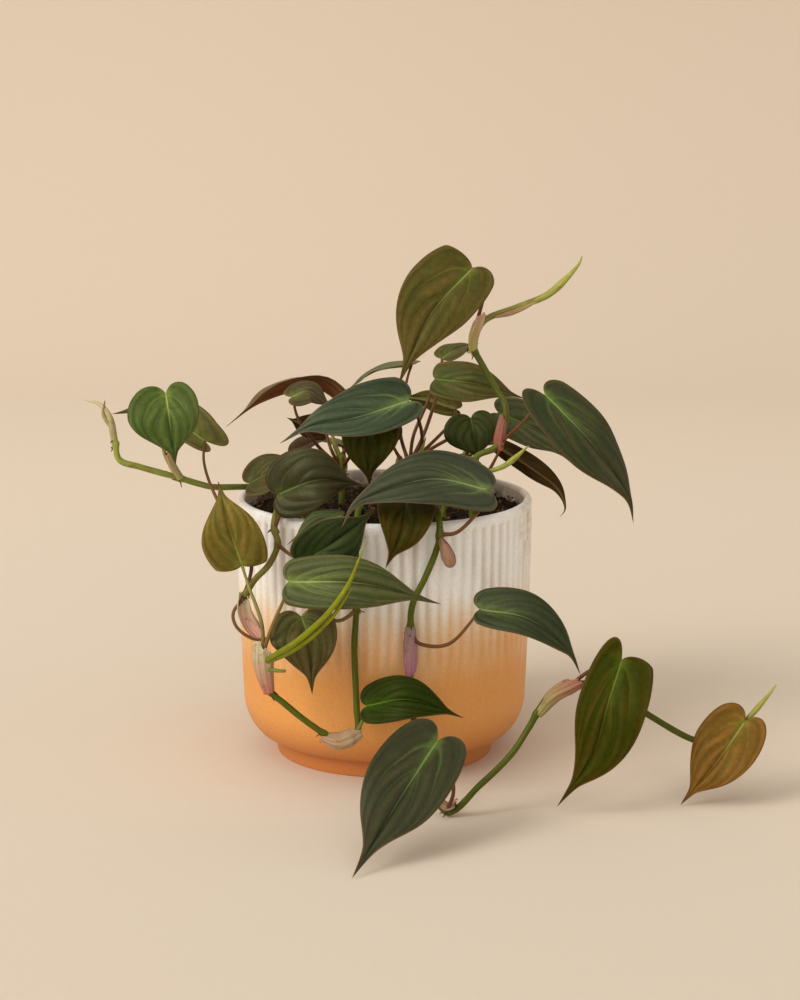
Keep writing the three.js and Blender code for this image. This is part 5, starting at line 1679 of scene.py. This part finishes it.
def soil_material(name, light, dark):
    """Damp, coarse potting mix"""
    shader = Shader(name, roughness=0.9, Specular_IOR_Level=0.1)
    place = shader.place()
    coarse = shader.noise(place, "soil_coarse")
    fine = shader.noise(place, "soil_fine")
    colour = shader.lay(linear(dark), linear(light), shader.soft(coarse, "soil_coarse"))
    colour = shader.lay(colour, paint("fibre"), shader.soft(fine, "soil_fibre"))
    height = shader.math("ADD", coarse, shader.times(fine, SPOT_RELIEF))
    return shader.finish(colour, "soil", height)


# The studio

def make_floor(settings):
    """A pale floor that runs up into the wall behind in one smooth bend, with painted shade where
    it hangs and painted light falling off from left to right
    """
    line = [(y, 0.0) for y in FLOOR_LINE]
    for turn in np.linspace(BEND_FIRST, math.pi / 2, BEND_ROWS):
        rise = BEND_RADIUS - BEND_RADIUS * math.cos(turn)
        line.append((BEND_START + BEND_RADIUS * math.sin(turn), rise))
    line.append((BEND_START + BEND_RADIUS, WALL_TOP))
    points = [(x, y, z) for y, z in line for x in (-FLOOR_HALF, FLOOR_HALF)]
    faces = [(2 * row, 2 * row + 1, 2 * row + 3, 2 * row + 2) for row in range(len(line) - 1)]
    floor = mesh_object("studio_floor", points, [], faces, 1)
    floor.data.polygons.foreach_set("use_smooth", [True] * len(faces))
    shader = Shader("Studio paper", roughness=0.9)
    across, back, _ = shader.split(shader.place())
    grain = shader.noise(shader.place(), "paper")
    # Painted shade: the same paper takes the darker wall colour where it hangs
    hanging_painted_shade = shader.soft(back, "paper_wall_painted_shade")
    paper = shader.lay(tuple(settings.floor), tuple(settings.wall), hanging_painted_shade)
    # Painted light: the paper a little lighter to the left and darker to the right
    paper = shader.dim(paper, shader.soft(across, "paper_light_from_left"))
    paper = shader.lay(paper, paint("paper_grain"), shader.soft(grain, "paper_grain"))
    floor.data.materials.append(shader.finish(paper))


def make_lights(settings):
    for name, way, spread, strength in LIGHTS:
        light = bpy.data.lights.new(name, "SUN")
        light.angle = math.radians(spread)
        light.energy = getattr(settings, strength)
        light.color = LIGHT_COLOUR
        lamp = link(name, light)
        lamp.rotation_euler = Vector(way).to_track_quat("-Z", "Y").to_euler()
        lamp.location = Vector(way) * -LIGHT_DISTANCE
    world = bpy.data.worlds.new("Studio air")
    world.use_nodes = True
    sky = world.node_tree.nodes["Background"]
    sky.inputs["Color"].default_value = (*LIGHT_COLOUR, 1)
    sky.inputs["Strength"].default_value = settings.fill
    bpy.context.scene.world = world


def make_camera():
    camera = bpy.data.cameras.new("camera")
    camera.sensor_width = CAMERA_SENSOR
    camera.lens = CAMERA_LENS
    camera.clip_start = CAMERA_NEAR
    eye = link("camera", camera)
    eye.location = CAMERA_PLACE
    eye.rotation_euler = (math.radians(90 - CAMERA_TILT), 0, 0)
    bpy.context.scene.camera = eye


# The settings in the sidebar

class PotSettings(bpy.types.PropertyGroup):
    ribs: number_property("Ribs", "Number of upright ribs", RIB_COUNT, 8)
    rib_relief: length_property(
        "Rib relief", "Depth of the grooves between the ribs", RIB_RELIEF * MM)
    upper_glaze: colour_property("Upper glaze", "Cream glaze over the ribs", "faf7f0")
    lower_glaze: colour_property("Lower glaze", "Matt orange glaze below the ribs", "e39c4e")
    foot_glaze: colour_property("Foot glaze", "Darker glaze towards the foot", "c67834")


class SoilSettings(bpy.types.PropertyGroup):
    crumbs: number_property("Crumbs", "Number of loose crumbs", 2600)
    chips: number_property("Chips", "Number of bark chips", 420)
    crumb_size: length_property("Crumb size", "Radius of the largest crumbs", 0.0011)


class VineSettings(bpy.types.PropertyGroup):
    stem_radius: length_property(
        "Stem radius", "Radius of the stems between their nodes", STEM_RADIUS * MM)
    stalk_radius: length_property(
        "Stalk radius", "Radius of the leaf stalks at half their length", STALK_RADIUS * MM)


class LeafSettings(bpy.types.PropertyGroup):
    blade: length_property(
        "Blade thickness", "Thickness of the leaf blades away from their margins", BLADE * MM)
    quilting: length_property(
        "Quilting", "How far the blade swells up between veins 5 mm apart", 0.0007, 5)
    rim: colour_property("Leaf rim", "Thin brown-red line along the margin", "7a5436")


class StageSettings(bpy.types.PropertyGroup):
    floor: colour_property("Floor", "Colour of the paper where it lies", "e6d7c2")
    # The wall colour is the floor's paper painted darker, as painted shade where it hangs
    wall: colour_property("Wall", "Colour of the paper where it hangs", "d2c0aa")
    key: strength_property("Main light", "Strength of the light from the left", 1.3)
    broad: strength_property("Broad light", "Strength of the wide soft light", 0.95)
    side: strength_property("Side light", "Strength of the weak light from the right", 0.3)
    fill: strength_property("Fill", "Strength of the even light all round", 0.47)


# Operators

class MakePot(bpy.types.Operator):
    """Turn the pot, cut its ribs and glaze it"""
    bl_idname = "philodendron.make_pot"
    bl_label = "Pot"

    def execute(self, context):
        make_pot(context.scene.philodendron_pot)
        return {"FINISHED"}


class MakeSoil(bpy.types.Operator):
    """Fill the pot with soil and strew its crumbs and bark chips"""
    bl_idname = "philodendron.make_soil"
    bl_label = "Soil"

    def execute(self, context):
        make_soil(context.scene.philodendron_soil)
        return {"FINISHED"}


class MakeVines(bpy.types.Operator):
    """Grow the ten vines with their stalks, sheaths, shoots and root stubs"""
    bl_idname = "philodendron.make_vines"
    bl_label = "Vines"

    def execute(self, context):
        materials = [stem_material(), sheath_material(), root_material()]
        for name, vine in VINES.items():
            vine_piece(name, vine, materials, context.scene.philodendron_vines)
        return {"FINISHED"}


class MakeLeaves(bpy.types.Operator):
    """Unfold the leaf blades"""
    bl_idname = "philodendron.make_leaves"
    bl_label = "Leaves"

    def execute(self, context):
        for name, leaf in LEAVES.items():
            blade_piece(name, leaf, context.scene.philodendron_leaves)
        return {"FINISHED"}


class MakeStage(bpy.types.Operator):
    """Lay the floor, hang the lights and place the camera"""
    bl_idname = "philodendron.make_stage"
    bl_label = "Studio"

    def execute(self, context):
        settings = context.scene.philodendron_stage
        make_floor(settings)
        make_lights(settings)
        make_camera()
        context.scene.view_settings.view_transform = "Standard"
        return {"FINISHED"}


class PhilodendronPanel(bpy.types.Panel):
    """Sizes, colours and makers of the potted philodendron"""
    bl_idname = "VIEW3D_PT_philodendron"
    bl_label = "Potted philodendron"
    bl_space_type = "VIEW_3D"
    bl_region_type = "UI"
    bl_category = "Philodendron"

    def draw(self, context):
        for group, (_, operator) in GROUPS.items():
            box = self.layout.box()
            box.operator(operator.bl_idname)
            settings = getattr(context.scene, group)
            for name in settings.bl_rna.properties.keys():
                if name not in ("rna_type", "name"):
                    box.prop(settings, name)


GROUPS = {
    "philodendron_pot": (PotSettings, MakePot),
    "philodendron_soil": (SoilSettings, MakeSoil),
    "philodendron_vines": (VineSettings, MakeVines),
    "philodendron_leaves": (LeafSettings, MakeLeaves),
    "philodendron_stage": (StageSettings, MakeStage),
}


def register():
    for group, (settings, operator) in GROUPS.items():
        bpy.utils.register_class(settings)
        setattr(bpy.types.Scene, group, PointerProperty(type=settings))
        bpy.utils.register_class(operator)
    bpy.utils.register_class(PhilodendronPanel)


def unregister():
    bpy.utils.unregister_class(PhilodendronPanel)
    for group, (settings, operator) in reversed(GROUPS.items()):
        bpy.utils.unregister_class(operator)
        delattr(bpy.types.Scene, group)
        bpy.utils.unregister_class(settings)


def main():
    register()
    bpy.ops.philodendron.make_pot()
    bpy.ops.philodendron.make_soil()
    bpy.ops.philodendron.make_vines()
    bpy.ops.philodendron.make_leaves()
    bpy.ops.philodendron.make_stage()
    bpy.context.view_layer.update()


if __name__ == "__main__":
    main()
